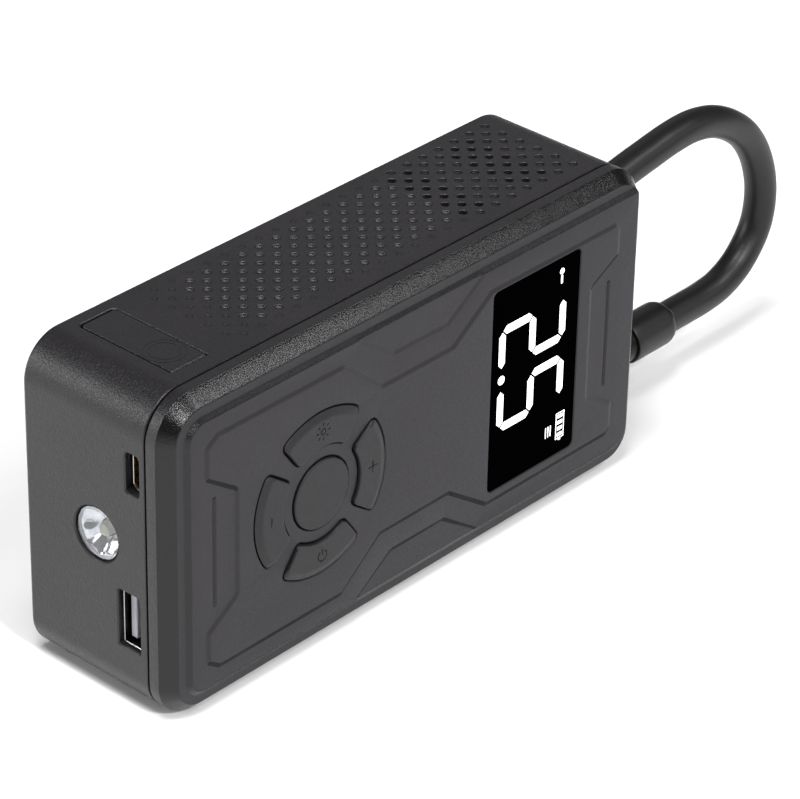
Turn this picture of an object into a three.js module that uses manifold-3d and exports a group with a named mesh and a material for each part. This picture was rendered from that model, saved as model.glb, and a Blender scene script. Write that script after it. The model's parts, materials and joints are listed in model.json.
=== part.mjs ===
// Jump starter pack with a built-in tyre inflator, lying on its long side.
// Millimetres, +Z up. While it is built, X runs from the port end (0) to the hose end (LENGTH), Y runs from
// the seam (0) back into the rear shell, and the front cover and its keys lie at negative Y.
// The last lines move the origin to the centre of the base.
import * as THREE from 'three';
import { mergeVertices } from 'three/addons/utils/BufferGeometryUtils.js';
import Module from 'manifold-3d';

const wasm = await Module();
wasm.setup();

// ---------- driving dimensions ----------
const LENGTH = 148;
const HEIGHT = 75.4;
const REAR_DEPTH = 35;
const WALL = 2.2;
const TOP_CORNER = 9.8;
const BOTTOM_CORNER = 8.9;
const BACK_EDGE = 1.2;
const GAP = 0.3;

// Front cover, from the seam outwards: band, wide chamfer, ledge, small chamfer, raised panel.
const BAND = 3.2;
const CHAMFER_INSET = 2.7;
const CHAMFER_RISE = 3.0;
const LEDGE = 2.0;
const PANEL_INSET = 1.2;
const PANEL_RISE = 0.8;
const COVER_DEPTH = BAND + CHAMFER_RISE + PANEL_RISE;
const COVER_ROOF = 2.1;
const ROOF_Y = -COVER_DEPTH + COVER_ROOF;

// Raised field on the panel, the same above and below the line RELIEF_Z: corners of its upper half.
const RELIEF_RISE = 0.35;
const RELIEF_BEVEL = 0.35;
const RELIEF_Z = 37.7;
const RELIEF_HALF = [
  [129.2, 13.9], [138.1, 18.6], [138.1, 25.6], [136.6, 27.1], [95.4, 27.1], [83.2, 18.5], [61.6, 18.5],
  [49.8, 28.2], [13.4, 28.2], [9.8, 25.9], [9.8, 18.2], [18.2, 12.5],
];
const FACE_Y = -COVER_DEPTH - RELIEF_RISE;

// Keys: one round key inside a ring of four.
const KEY_X = 43;
const KEY_Z = 38.2;
const RING_KEY_TOP = -8.0;
const CENTRE_KEY_TOP = -7.75;
const CENTRE_KEY_R = 8.1;
const RING_IN = 11.4;
const RING_OUT = 19.4;
const RING_HALF_ANGLE = THREE.MathUtils.degToRad(36);
const RING_MID = (RING_IN + RING_OUT) / 2;
const KEY_FLANGE = 0.9;
const KEY_FLANGE_BOTTOM = -3.9;
const SWITCH_TOP = -3.2;

// Window and digits.
const WINDOW = { x0: 96.2, x1: 124.4, z0: 13.7, z1: 63.3 };
const WINDOW_THICK = 1.2;
const WINDOW_REBATE = 1.5;
const WINDOW_LAND = 2.1;

// Circuit board, against the seam.
const BOARD = { x0: 3, x1: 132, z0: 12.5, z1: 63.6, y0: 0.3, y1: 1.7 };
const POST_X = 75;
const POST_Z = [20, 57];

// Ports in the port end.
const USB_A = { y: 5.3, z: 21.35, wide: 13.1, thick: 5.7, front: 1.2, deep: 14, wall: 0.4, corner: 0.5 };
const USB_A_TONGUE = { y0: 5.6, y1: 7.3, front: 2.6, halfWide: 5.5 };
const USB_C = { y: 3.65, z: 57.2, wide: 8.94, thick: 3.26, front: 1.9, deep: 9.4, wall: 0.3, corner: 1.63 };
const USB_C_TONGUE = { halfThick: 0.35, front: 2.7, halfWide: 3.35 };
const PORT_BACK = 1;
const TORCH = { y: 14.3, z: 38.6, r: 6.3 };
const EMITTER_R = 1.5;

// Flap over the jump socket, in the top near the port end.
const FLAP = { x0: 12.35, x1: 21.95, y0: 4.55, y1: 30.4, thick: 1.6 };
const FLAP_FINGER_GAP = 0.7;
const FLAP_PAD_BOTTOM = 71.3;
const JACK = { x0: 13.9, x1: 20.4, y0: 7.3, y1: 28.2, z0: 56, z1: 73.2 };
const JACK_POLES = [12.7, 22.8];
const JACK_MIDDLE = (JACK.x0 + JACK.x1) / 2;
const POLE_CAVITY_R = 2.85;
const CONTACT_R = 2.45;
const CONTACT_BORE_R = 1.7;
const LEAD_R = 1.6;

// Battery: three flat cells side by side.
const CELL = { x0: 26, x1: 64, z0: 6, z1: 69, thick: 8, y0: 6, pitch: 8.4 };
const CELL_COUNT = 3;

// Compressor.
const SHAFT_Y = 18.5;
const MOTOR_Z = 17.3;
const MOTOR_R = 12.2;
const MOTOR = { x0: 70, x1: 98.5 };
const PLATE = { x0: 98.8, x1: 100.8, y0: 5, y1: 31.5, z0: 4, z1: 46.8 };
const SHELF = { x1: 124, z0: 44.5, z1: 46.8 };
const MODULE = 0.5;
const PINION_TEETH = 10;
const GEAR_TEETH = 48;
const CENTRE_DISTANCE = MODULE * (PINION_TEETH + GEAR_TEETH) / 2;
const CRANK_Z = MOTOR_Z + CENTRE_DISTANCE;
const CRANK_THROW = 4.75;
const AXLE_R = 1.4;
const RUNNING = 0.08;
const ROD_LENGTH = 20.5;
const ROD_THICK = { x0: 108.2, x1: 111.8 };
const BORE_R = 8;
const CYLINDER = { x: 111.8, r: 9.6, z0: 47.1, z1: 62 };
const HEAD = { x0: 101, x1: 122.6, y0: 8, y1: 29, z0: 63.6, z1: 69.5 };
const OUTLET_Y = 14;
const OUTLET_Z = 66.5;

// Hose and its storage socket, both in the hose end.
const HOSE_Y = 12;
const HOSE_Z = 59.3;
const HOSE_R = 3.85;
const GLAND_END = 150.5;
const CHUCK_Z = 14.7;
const CHUCK_R = 4.7;
const CHUCK_BORE_R = 3.85;
const GLAND_R = 6.4;
const CHUCK = { x0: 140, x1: 165.3 };
const COLLAR = { x0: 165.6, x1: 180, r: 5.4 };
const HOSE_ROUTE = [
  [151, 59.3], [153.5, 59.4], [157.5, 59.8], [163, 60.8], [170.8, 62], [178.8, 63.1], [186.3, 63.3], [193.9, 61.8],
  [201.1, 58.3], [207.6, 53], [212.7, 45.4], [215.4, 36], [214.3, 26.9], [208.6, 19.5], [201.8, 15.9],
  [195, 14.8], [187.6, 14.7], [183, CHUCK_Z], [180.4, CHUCK_Z],
];

// Case screws, entering from the back.
const CASE_SCREWS = [[7.5, 7.5], [7.5, 67.9], [128, 6.8], [139.8, 67.9]];
const BOSS_R = 3.8;
const SCREW_SEAT = 8;
const CASE_SCREW_TIP = -3.9;

// ---------- materials ----------
const surface = (color, roughness, metalness = 0) => (
  new THREE.MeshStandardMaterial({ color, roughness, metalness })
);
const SHELL_PLASTIC = surface(0x232222, 0.55);
const COVER_PLASTIC = surface(0x39373b, 0.6);
const KEY_RUBBER = surface(0x38373a, 0.65);
const WINDOW_ACRYLIC = surface(0x050506, 0.12);
const WHITE_PLASTIC = surface(0xd8d8d4, 0.5);
const BOARD_GREEN = surface(0x1f4a2c, 0.6);
const STEEL = surface(0xb9b9bb, 0.3, 1);
const NICKEL = surface(0xa89c8a, 0.28, 1);
const GOLD = surface(0xc79a4a, 0.3, 1);
const BLACK_NYLON = surface(0x1a1a1b, 0.6);
const CLEAR_LENS = surface(0xe8eef2, 0.08);
const CHROME = surface(0xdfe2e4, 0.1, 1);
const BLUE_NYLON = surface(0x1e3f86, 0.5);
const CELL_POUCH = surface(0xa6a8ac, 0.4, 0.6);
const RED_SILICONE = surface(0xa51d1d, 0.6);
const BLACK_SILICONE = surface(0x141414, 0.6);
const ZINC = surface(0x8f9294, 0.45, 1);
const GEAR_NYLON = surface(0xe4e0d2, 0.5);
const HOSE_RUBBER = surface(0x242425, 0.6);

// ---------- solids ----------
function toSolid(geometry) {
  geometry.deleteAttribute('normal');
  geometry.deleteAttribute('uv');
  const merged = mergeVertices(geometry, 1e-4);
  return new wasm.Manifold(new wasm.Mesh({
    numProp: 3,
    vertProperties: new Float32Array(merged.attributes.position.array),
    triVerts: new Uint32Array(merged.index.array),
  }));
}

function toGeometry(solid) {
  const mesh = solid.getMesh();
  const geometry = new THREE.BufferGeometry();
  geometry.setAttribute('position', new THREE.BufferAttribute(mesh.vertProperties, mesh.numProp));
  geometry.setIndex(new THREE.BufferAttribute(mesh.triVerts, 1));
  geometry.computeVertexNormals();
  return geometry;
}

const join = (...solids) => solids.reduce((whole, next) => whole.add(next));
const cut = (body, ...tools) => tools.reduce((rest, tool) => rest.subtract(tool), body);

// Turn an extrusion's own axes so that its depth runs along X, Y or Z.
const DEPTH_ALONG_X = new THREE.Matrix4().set(0, 0, 1, 0, 1, 0, 0, 0, 0, 1, 0, 0, 0, 0, 0, 1);
const DEPTH_ALONG_Y = new THREE.Matrix4().set(1, 0, 0, 0, 0, 0, -1, 0, 0, 1, 0, 0, 0, 0, 0, 1);

function extruded(shape, depth, segments, bevel = {}) {
  return new THREE.ExtrudeGeometry(shape, {
    depth, curveSegments: segments, steps: 1, bevelEnabled: false, ...bevel,
  });
}

// A (Y, Z) outline extruded from x0 to x1.
function alongX(shape, x0, x1, segments = 8) {
  const geometry = extruded(shape, x1 - x0, segments).applyMatrix4(DEPTH_ALONG_X);
  return toSolid(geometry.translate(x0, 0, 0));
}

// An (X, Z) outline extruded from y0 to y1.
function alongY(shape, y0, y1, segments = 8) {
  const geometry = extruded(shape, y1 - y0, segments).applyMatrix4(DEPTH_ALONG_Y);
  return toSolid(geometry.translate(0, y1, 0));
}

// An (X, Y) outline extruded from z0 to z1.
function alongZ(shape, z0, z1, segments = 8) {
  return toSolid(extruded(shape, z1 - z0, segments).translate(0, 0, z0));
}

// An (X, Z) outline from the plane flatY to the plane bevelY, with a chamfer round its edge at bevelY.
function chamferedAlongY(shape, flatY, bevelY, inset, rise, segments = 4) {
  const reach = Math.abs(bevelY - flatY);
  const bevel = {
    bevelEnabled: true, bevelThickness: rise, bevelSize: inset, bevelOffset: -inset, bevelSegments: 1,
  };
  const geometry = extruded(shape, 2 * (reach - rise), segments, bevel).applyMatrix4(DEPTH_ALONG_Y);
  const whole = toSolid(geometry.translate(0, flatY + reach - rise, 0));
  const far = 400;
  const keep = bevelY > flatY
    ? block(-far, far, flatY, far, -far, far)
    : block(-far, far, -far, flatY, -far, far);
  return whole.intersect(keep);
}

function block(x0, x1, y0, y1, z0, z1) {
  const geometry = new THREE.BoxGeometry(x1 - x0, y1 - y0, z1 - z0);
  return toSolid(geometry.translate((x0 + x1) / 2, (y0 + y1) / 2, (z0 + z1) / 2));
}

function circle(u, v, r) {
  return new THREE.Shape().absarc(u, v, r, 0, 2 * Math.PI, false);
}

// Rounded rectangle; radii are [low-low, high-low, high-high, low-high] corners.
function roundedRect(u0, u1, v0, v1, radii) {
  const [a, b, c, d] = radii;
  const shape = new THREE.Shape();
  shape.absarc(u1 - b, v0 + b, b, -Math.PI / 2, 0, false);
  shape.absarc(u1 - c, v1 - c, c, 0, Math.PI / 2, false);
  shape.absarc(u0 + d, v1 - d, d, Math.PI / 2, Math.PI, false);
  shape.absarc(u0 + a, v0 + a, a, Math.PI, 1.5 * Math.PI, false);
  return shape;
}

const evenRect = (u0, u1, v0, v1, r) => roundedRect(u0, u1, v0, v1, [r, r, r, r]);

// Round bars along each axis.
const barX = (y, z, r, x0, x1, sides = 16) => alongX(circle(y, z, r), x0, x1, sides / 2);
const barY = (x, z, r, y0, y1, sides = 16) => alongY(circle(x, z, r), y0, y1, sides / 2);
const barZ = (x, y, r, z0, z1, sides = 16) => alongZ(circle(x, y, r), z0, z1, sides / 2);

// A tube of round section along a smooth curve through the points.
function tubeAlong(points, r, steps, sides) {
  const path = new THREE.CatmullRomCurve3(points.map((p) => new THREE.Vector3(...p)), false, 'centripetal');
  return new THREE.ExtrudeGeometry(circle(0, 0, r), {
    steps, curveSegments: sides / 2, bevelEnabled: false, extrudePath: path,
  });
}

const pack = new THREE.Group();

function addPart(name, shape, material) {
  const geometry = shape.isBufferGeometry ? shape : toGeometry(shape);
  const mesh = new THREE.Mesh(geometry, material);
  mesh.name = name;
  pack.add(mesh);
}

// ---------- housing ----------
function housingOutline(inset) {
  const bottom = BOTTOM_CORNER - inset;
  const top = TOP_CORNER - inset;
  return roundedRect(inset, LENGTH - inset, inset, HEIGHT - inset, [bottom, bottom, top, top]);
}

function rearShell() {
  const skin = chamferedAlongY(housingOutline(0), 0, REAR_DEPTH, BACK_EDGE, BACK_EDGE);
  const hollow = alongY(housingOutline(WALL), -1, REAR_DEPTH - WALL, 4);
  const socketCup = barX(HOSE_Y, CHUCK_Z, CHUCK_R + 2.5, CHUCK.x0 - 3, LENGTH - 1, 20);
  const flapPad = block(
    FLAP.x0 - 2.8, FLAP.x1 + 2.8, WALL, REAR_DEPTH - WALL, FLAP_PAD_BOTTOM, HEIGHT - 1,
  );
  const inner = skin.intersect(alongY(housingOutline(1), 0, REAR_DEPTH - 1, 4));
  const bosses = CASE_SCREWS.map(([x, z]) => barY(x, z, BOSS_R, 0, REAR_DEPTH - 1).intersect(inner));
  const bracketPosts = BRACKET_SCREWS.map(([x, z]) => barY(x, z, 2.8, 31.6, REAR_DEPTH - 1));
  const body = join(cut(skin, hollow), socketCup, flapPad, ...bosses, ...bracketPosts);
  return cut(body, ...portOpenings(), ...topOpenings(), ...hoseEndOpenings(), ...screwHoles());
}

// The hole in the wall round a port's shell.
function portHole(port, corner) {
  return evenRect(
    port.y - port.thick / 2 - GAP, port.y + port.thick / 2 + GAP,
    port.z - port.wide / 2 - GAP, port.z + port.wide / 2 + GAP, corner,
  );
}

function portOpenings() {
  return [
    alongX(portHole(USB_A, 0.4), -1, WALL + 1, 2),
    alongX(portHole(USB_C, 1), -1, WALL + 1, 3),
    barX(TORCH.y, TORCH.z, TORCH.r, -1, WALL + 1, 24),
  ];
}

function topOpenings() {
  const recess = evenRect(
    FLAP.x0 - GAP, FLAP.x1 + GAP, FLAP.y0 - GAP, FLAP.y1 + FLAP_FINGER_GAP, 0.3,
  );
  const throat = evenRect(JACK.x0 - GAP, JACK.x1 + GAP, JACK.y0 - GAP, JACK.y1 + GAP, 1);
  return [
    alongZ(recess, HEIGHT - FLAP.thick - GAP, HEIGHT + 1, 2),
    alongZ(throat, FLAP_PAD_BOTTOM - 1, HEIGHT, 2),
  ];
}

function hoseEndOpenings() {
  return [
    barX(HOSE_Y, HOSE_Z, 5.4, LENGTH - WALL - 1, LENGTH + 1, 20),
    barX(HOSE_Y, CHUCK_Z, CHUCK_R + 0.5, CHUCK.x0 - 1.5, LENGTH + 1, 20),
  ];
}

function screwHoles() {
  const caseHoles = CASE_SCREWS.flatMap(([x, z]) => [
    barY(x, z, 2.9, SCREW_SEAT, REAR_DEPTH + 1),
    barY(x, z, 1.6, -1, SCREW_SEAT + 1, 12),
  ]);
  const bracketHoles = BRACKET_SCREWS.map(([x, z]) => barY(x, z, 1.4, 30, REAR_DEPTH - 0.8, 12));
  return [...caseHoles, ...bracketHoles];
}

function reliefOutline() {
  const upper = RELIEF_HALF.map(([x, dz]) => new THREE.Vector2(x, RELIEF_Z + dz));
  const lower = RELIEF_HALF.map(([x, dz]) => new THREE.Vector2(x, RELIEF_Z - dz)).reverse();
  return new THREE.Shape([...upper, ...lower]);
}

function frontCover() {
  const seam = -GAP;
  const panelBase = -(BAND + CHAMFER_RISE);
  const skirt = chamferedAlongY(housingOutline(0), seam, panelBase, CHAMFER_INSET, CHAMFER_RISE);
  const panelInset = CHAMFER_INSET + LEDGE;
  const panelOutline = roundedRect(
    panelInset, LENGTH - CHAMFER_INSET, panelInset, HEIGHT - panelInset, [4.6, 5.2, 1.6, 5.2],
  );
  const panel = chamferedAlongY(panelOutline, panelBase + 1, -COVER_DEPTH, PANEL_INSET, PANEL_RISE);
  const relief = chamferedAlongY(reliefOutline(), -COVER_DEPTH + 0.5, FACE_Y, RELIEF_BEVEL, RELIEF_RISE);
  const hollow = alongY(housingOutline(3.2), ROOF_Y, 1, 4);
  const bosses = CASE_SCREWS.map(([x, z]) => barY(x, z, 3.3, ROOF_Y - 0.5, seam));
  const shell = join(cut(join(skirt, panel, relief), hollow), ...bosses.map((boss) => boss.intersect(skirt)));
  const posts = POST_Z.map((z) => barY(POST_X, z, 2.6, ROOF_Y - 0.5, 0));
  const threads = CASE_SCREWS.map(([x, z]) => barY(x, z, 1.6, -4.3, 1, 12));
  const rebate = evenRect(
    WINDOW.x0 - GAP, WINDOW.x1 + GAP, WINDOW.z0 - GAP, WINDOW.z1 + GAP, 1.3,
  );
  const sight = evenRect(
    WINDOW.x0 + WINDOW_LAND, WINDOW.x1 - WINDOW_LAND, WINDOW.z0 + WINDOW_LAND, WINDOW.z1 - WINDOW_LAND, 1,
  );
  return cut(
    join(shell, ...posts),
    ...threads,
    alongY(rebate, FACE_Y - 1, FACE_Y + WINDOW_REBATE, 2),
    alongY(sight, FACE_Y - 1, 0, 2),
    ...KEYS.map((key) => alongY(key.outline(GAP), FACE_Y - 1, ROOF_Y + 1, 6)),
  );
}

// ---------- keys ----------
function centreOutline(grow) {
  return circle(KEY_X, KEY_Z, CENTRE_KEY_R + grow);
}

// One key of the ring: an annular sector about the angle mid, grown by an even margin.
function ringOutline(mid, grow) {
  const inner = RING_IN - grow;
  const outer = RING_OUT + grow;
  const reachOut = RING_HALF_ANGLE + Math.asin(grow / outer);
  const reachIn = RING_HALF_ANGLE + Math.asin(grow / inner);
  const shape = new THREE.Shape();
  shape.absarc(KEY_X, KEY_Z, outer, mid - reachOut, mid + reachOut, false);
  shape.absarc(KEY_X, KEY_Z, inner, mid + reachIn, mid - reachIn, true);
  return shape;
}

const ringKey = (name, quarter) => {
  const mid = quarter * Math.PI / 2;
  return {
    name,
    outline: (grow) => ringOutline(mid, grow),
    x: KEY_X + RING_MID * Math.cos(mid),
    z: KEY_Z + RING_MID * Math.sin(mid),
    top: RING_KEY_TOP,
  };
};

const KEYS = [
  { name: 'mode', outline: centreOutline, x: KEY_X, z: KEY_Z, top: CENTRE_KEY_TOP },
  ringKey('plus', 0),
  ringKey('light', 1),
  ringKey('minus', 2),
  ringKey('power', 3),
];

function keyCap(key) {
  const flangeTop = ROOF_Y + GAP;
  const cap = chamferedAlongY(key.outline(0), KEY_FLANGE_BOTTOM, key.top, 0.4, 0.4, 6);
  const flange = alongY(key.outline(KEY_FLANGE), flangeTop, KEY_FLANGE_BOTTOM, 6);
  return join(cap, flange);
}

function keySwitch(key) {
  const body = block(key.x - 3, key.x + 3, SWITCH_TOP + 0.8, BOARD.y0 - GAP, key.z - 3, key.z + 3);
  return join(body, barY(key.x, key.z, 1.7, SWITCH_TOP, SWITCH_TOP + 1, 12));
}

// ---------- window, digits and board ----------
function displayWindow() {
  const outline = evenRect(WINDOW.x0, WINDOW.x1, WINDOW.z0, WINDOW.z1, 1);
  return alongY(outline, FACE_Y + 0.05, FACE_Y + 0.05 + WINDOW_THICK, 2);
}

function displayModule() {
  return block(WINDOW.x0 + 1, WINDOW.x1 - 1, ROOF_Y + GAP, BOARD.y0 - GAP, WINDOW.z0 + 1, WINDOW.z1 - 1);
}

function mainBoard() {
  const outline = evenRect(BOARD.x0, BOARD.x1, BOARD.z0, BOARD.z1, 1.5);
  const board = alongY(outline, BOARD.y0, BOARD.y1, 2);
  return cut(board, ...POST_Z.map((z) => barY(POST_X, z, 1.5, BOARD.y0 - 1, BOARD.y1 + 1, 12)));
}

function pressureSensor() {
  const chip = block(84, 92, BOARD.y1 + GAP, 5.5, 49, 56);
  return join(chip, barY(88, 52.5, 1.3, 5, 8, 10));
}

// ---------- ports and torch ----------
// The metal shell of a port: open towards the port end, closed at the back.
function portShell(port, segments) {
  const outline = (inset) => evenRect(
    port.y - port.thick / 2 + inset, port.y + port.thick / 2 - inset,
    port.z - port.wide / 2 + inset, port.z + port.wide / 2 - inset, Math.max(port.corner - inset, 0.1),
  );
  const outer = alongX(outline(0), port.front, port.deep, segments);
  return cut(outer, alongX(outline(port.wall), port.front - 1, port.deep - PORT_BACK, segments));
}

function usbATongue() {
  const { y0, y1, front, halfWide } = USB_A_TONGUE;
  return block(front, USB_A.deep - PORT_BACK - GAP, y0, y1, USB_A.z - halfWide, USB_A.z + halfWide);
}

function usbCTongue() {
  const { halfThick, front, halfWide } = USB_C_TONGUE;
  return block(
    front, USB_C.deep - PORT_BACK - GAP, USB_C.y - halfThick, USB_C.y + halfThick,
    USB_C.z - halfWide, USB_C.z + halfWide,
  );
}

// A body turned about an axis parallel to X; the profile is [radius, x] pairs.
function turnedAboutX(profile, y, z, sides) {
  const points = profile.map(([r, x]) => new THREE.Vector2(r, x));
  const lathe = new THREE.LatheGeometry(points, sides);
  const yToX = new THREE.Matrix4().makeRotationZ(-Math.PI / 2);
  return toSolid(lathe.applyMatrix4(yToX).translate(0, y, z));
}

function torchLens() {
  const r = TORCH.r - GAP;
  return turnedAboutX([[0, 0.3], [3, 0.4], [r - 0.6, 0.6], [r, 1], [r, 1.6], [0, 1.6]], TORCH.y, TORCH.z, 24);
}

// A shallow bowl with a flange behind the wall and a hole in the middle for the emitter.
function torchReflector() {
  const r = TORCH.r - GAP;
  const profile = [
    [r - 0.5, 1.9], [r, 1.9], [r, 2.5], [r + 1.9, 2.5], [r + 1.9, 3.5], [r, 3.5],
    [3.4, 4.6], [EMITTER_R + 0.4, 4.6], [EMITTER_R + 0.4, 3.9],
  ];
  return turnedAboutX([...profile, profile[0]], TORCH.y, TORCH.z, 24);
}

function torchLed() {
  const board = barX(TORCH.y, TORCH.z, 5.8, 4.9, 6.3, 20);
  return join(board, barX(TORCH.y, TORCH.z, EMITTER_R, 2.6, 5.2, 16));
}

// ---------- jump socket and its flap ----------
function portCover() {
  const half = FLAP.thick / 2;
  const side = new THREE.Shape();
  side.moveTo(FLAP.y1, HEIGHT);
  side.lineTo(FLAP.y0 + half, HEIGHT);
  side.absarc(FLAP.y0 + half, HEIGHT - half, half, Math.PI / 2, 1.5 * Math.PI, false);
  side.lineTo(FLAP.y1, HEIGHT - FLAP.thick);
  side.closePath();
  const outline = roundedRect(FLAP.x0, FLAP.x1, FLAP.y0 - 1, FLAP.y1, [0.1, 0.1, 1, 1]);
  return alongX(side, FLAP.x0, FLAP.x1, 5).intersect(alongZ(outline, HEIGHT - 3, HEIGHT + 1, 2));
}

function jumpSocket() {
  const body = evenRect(JACK.x0, JACK.x1, JACK.y0, JACK.y1, 1);
  const flange = block(JACK.x0 - 2.2, JACK.x1 + 2.2, JACK.y0 - 2, JACK.y1 + 2, 68.6, FLAP_PAD_BOTTOM - GAP);
  const cavities = JACK_POLES.map((y) => barZ(JACK_MIDDLE, y, POLE_CAVITY_R, JACK.z0 + 3, JACK.z1 + 1));
  const tailHoles = JACK_POLES.map((y) => barZ(JACK_MIDDLE, y, 1.9, JACK.z0 - 1, JACK.z0 + 4, 12));
  return cut(join(alongZ(body, JACK.z0, JACK.z1, 2), flange), ...cavities, ...tailHoles);
}

function jumpContact(y) {
  const sleeve = barZ(JACK_MIDDLE, y, CONTACT_R, JACK.z0 + 3 + GAP, 70.5);
  const tail = barZ(JACK_MIDDLE, y, 1.5, JACK.z0 + GAP, JACK.z0 + 4, 12);
  return cut(join(sleeve, tail), barZ(JACK_MIDDLE, y, CONTACT_BORE_R, 62, 72));
}

// ---------- battery ----------
function batteryCell(index) {
  const y0 = CELL.y0 + index * CELL.pitch;
  const pouch = evenRect(CELL.x0, CELL.x1, y0, y0 + CELL.thick, 1.5);
  const tabs = [CELL.x0 + 9, CELL.x1 - 9].map((x) => (
    block(x - 3, x + 3, y0 + 3.8, y0 + 4.2, CELL.z1 - 1, CELL.z1 + 2.5)
  ));
  return join(alongZ(pouch, CELL.z0, CELL.z1, 2), ...tabs);
}

function batteryLead(y) {
  const route = [
    [JACK_MIDDLE, y, JACK.z0 - GAP], [JACK_MIDDLE, y, 52], [18.6, y, 46.5], [22, y, 44], [25.5, y, 43.7],
  ];
  return tubeAlong(route, LEAD_R, 12, 8);
}

// ---------- compressor ----------
const MOTOR_SCREW_Y = [SHAFT_Y - 8, SHAFT_Y + 8];
const BRACKET_SCREWS = [[105.5, 9], [116.5, 40.5]];
const HEAD_SCREWS = [[104, 10.5], [119.6, 26.5]];

function motorCan() {
  const can = barX(SHAFT_Y, MOTOR_Z, MOTOR_R, MOTOR.x0, MOTOR.x1, 28);
  const open = barX(SHAFT_Y, MOTOR_Z, MOTOR_R - 1, MOTOR.x0 - 1, MOTOR.x1 - 4.5, 28);
  const threads = MOTOR_SCREW_Y.map((y) => barX(y, MOTOR_Z, 1.4, MOTOR.x1 - 3, MOTOR.x1 + 1, 12));
  return cut(can, open, ...threads);
}

function motorEndBell() {
  const cap = barX(SHAFT_Y, MOTOR_Z, MOTOR_R - 0.4, MOTOR.x0 - 3.6, MOTOR.x0 - GAP, 28);
  const terminals = [-6, 6].map((dy) => (
    block(MOTOR.x0 - 5.6, MOTOR.x0 - 3, SHAFT_Y + dy - 1.2, SHAFT_Y + dy + 1.2, MOTOR_Z - 0.3, MOTOR_Z + 0.3)
  ));
  return join(cap, ...terminals);
}

// Spur gear outline in (Y, Z); one tooth points at the angle first.
function gearOutline(y, z, teeth, first) {
  const pitchR = MODULE * teeth / 2;
  const tip = pitchR + MODULE;
  const root = pitchR - 1.25 * MODULE;
  const halfTip = 0.16 / tip;
  const halfRoot = 0.46 / root;
  const shape = new THREE.Shape();
  for (let i = 0; i < teeth; i += 1) {
    const mid = first + i * 2 * Math.PI / teeth;
    const flank = [[root, -halfRoot], [tip, -halfTip], [tip, halfTip], [root, halfRoot]];
    flank.forEach(([r, turn], corner) => {
      const u = y + r * Math.cos(mid + turn);
      const v = z + r * Math.sin(mid + turn);
      if (i === 0 && corner === 0) shape.moveTo(u, v);
      else shape.lineTo(u, v);
    });
  }
  shape.closePath();
  return shape;
}

function motorPinion() {
  const teeth = alongX(gearOutline(SHAFT_Y, MOTOR_Z, PINION_TEETH, Math.PI / 2), 101.6, 107.6, 1);
  return join(teeth, barX(SHAFT_Y, MOTOR_Z, 1, MOTOR.x1 + GAP, 102, 12));
}

function crankGear() {
  const firstTooth = -Math.PI / 2 + Math.PI / GEAR_TEETH;
  const disc = alongX(gearOutline(SHAFT_Y, CRANK_Z, GEAR_TEETH, firstTooth), 102.2, 105.6, 1);
  const pin = barX(SHAFT_Y, CRANK_Z - CRANK_THROW, 1.5, 105, 107.9);
  return cut(join(disc, pin), barX(SHAFT_Y, CRANK_Z, AXLE_R + RUNNING, 101, 109, 24));
}

function crankAxle() {
  const axle = barX(SHAFT_Y, CRANK_Z, AXLE_R, PLATE.x0 - 1, 106.8, 24);
  return join(axle, barX(SHAFT_Y, CRANK_Z, 1.95, PLATE.x0 - 1.8, PLATE.x0 - GAP));
}

function pumpBracket() {
  const plate = block(PLATE.x0, PLATE.x1, PLATE.y0, PLATE.y1, PLATE.z0, PLATE.z1);
  const shelf = block(PLATE.x0, SHELF.x1, PLATE.y0, PLATE.y1, SHELF.z0, SHELF.z1);
  const [[lowX, lowZ], [highX, highZ]] = BRACKET_SCREWS;
  const lowTab = block(PLATE.x0, lowX + 4, 29.3, 31.3, PLATE.z0, lowZ + 4);
  const highTab = block(highX - 4, highX + 4, 29.3, 31.3, highZ - 4, SHELF.z1);
  return cut(
    join(plate, shelf, lowTab, highTab),
    barX(SHAFT_Y, MOTOR_Z, 3.4, 98, 102),
    barX(SHAFT_Y, CRANK_Z, 1.7, 98, 102),
    ...MOTOR_SCREW_Y.map((y) => barX(y, MOTOR_Z, 1.4, 98, 102, 12)),
    ...BRACKET_SCREWS.map(([x, z]) => barY(x, z, 1.4, 28, 32, 12)),
    barZ(CYLINDER.x, SHAFT_Y, BORE_R + 0.6, 44, 48, 24),
    ...HEAD_SCREWS.map(([x, y]) => barZ(x, y, 1.4, 44, 48, 12)),
  );
}

// One-piece rod and piston, at the bottom of its stroke.
function pistonRod() {
  const eyeZ = CRANK_Z - CRANK_THROW;
  const discZ = eyeZ + ROD_LENGTH;
  const eye = barX(SHAFT_Y, eyeZ, 4, ROD_THICK.x0, ROD_THICK.x1, 20);
  const stem = block(ROD_THICK.x0, ROD_THICK.x1, SHAFT_Y - 2.4, SHAFT_Y + 2.4, eyeZ + 3, discZ + 0.5);
  const disc = barZ(CYLINDER.x, SHAFT_Y, BORE_R - 0.6, discZ, discZ + 2.5, 24);
  return cut(join(eye, stem, disc), barX(SHAFT_Y, eyeZ, 1.8, 107, 113));
}

function pistonCup() {
  const z = CRANK_Z - CRANK_THROW + ROD_LENGTH + 2.5 + GAP;
  const cup = barZ(CYLINDER.x, SHAFT_Y, BORE_R - 0.25, z, z + 2, 24);
  return cut(cup, barZ(CYLINDER.x, SHAFT_Y, BORE_R - 1.2, z + 0.9, z + 3, 24));
}

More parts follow.
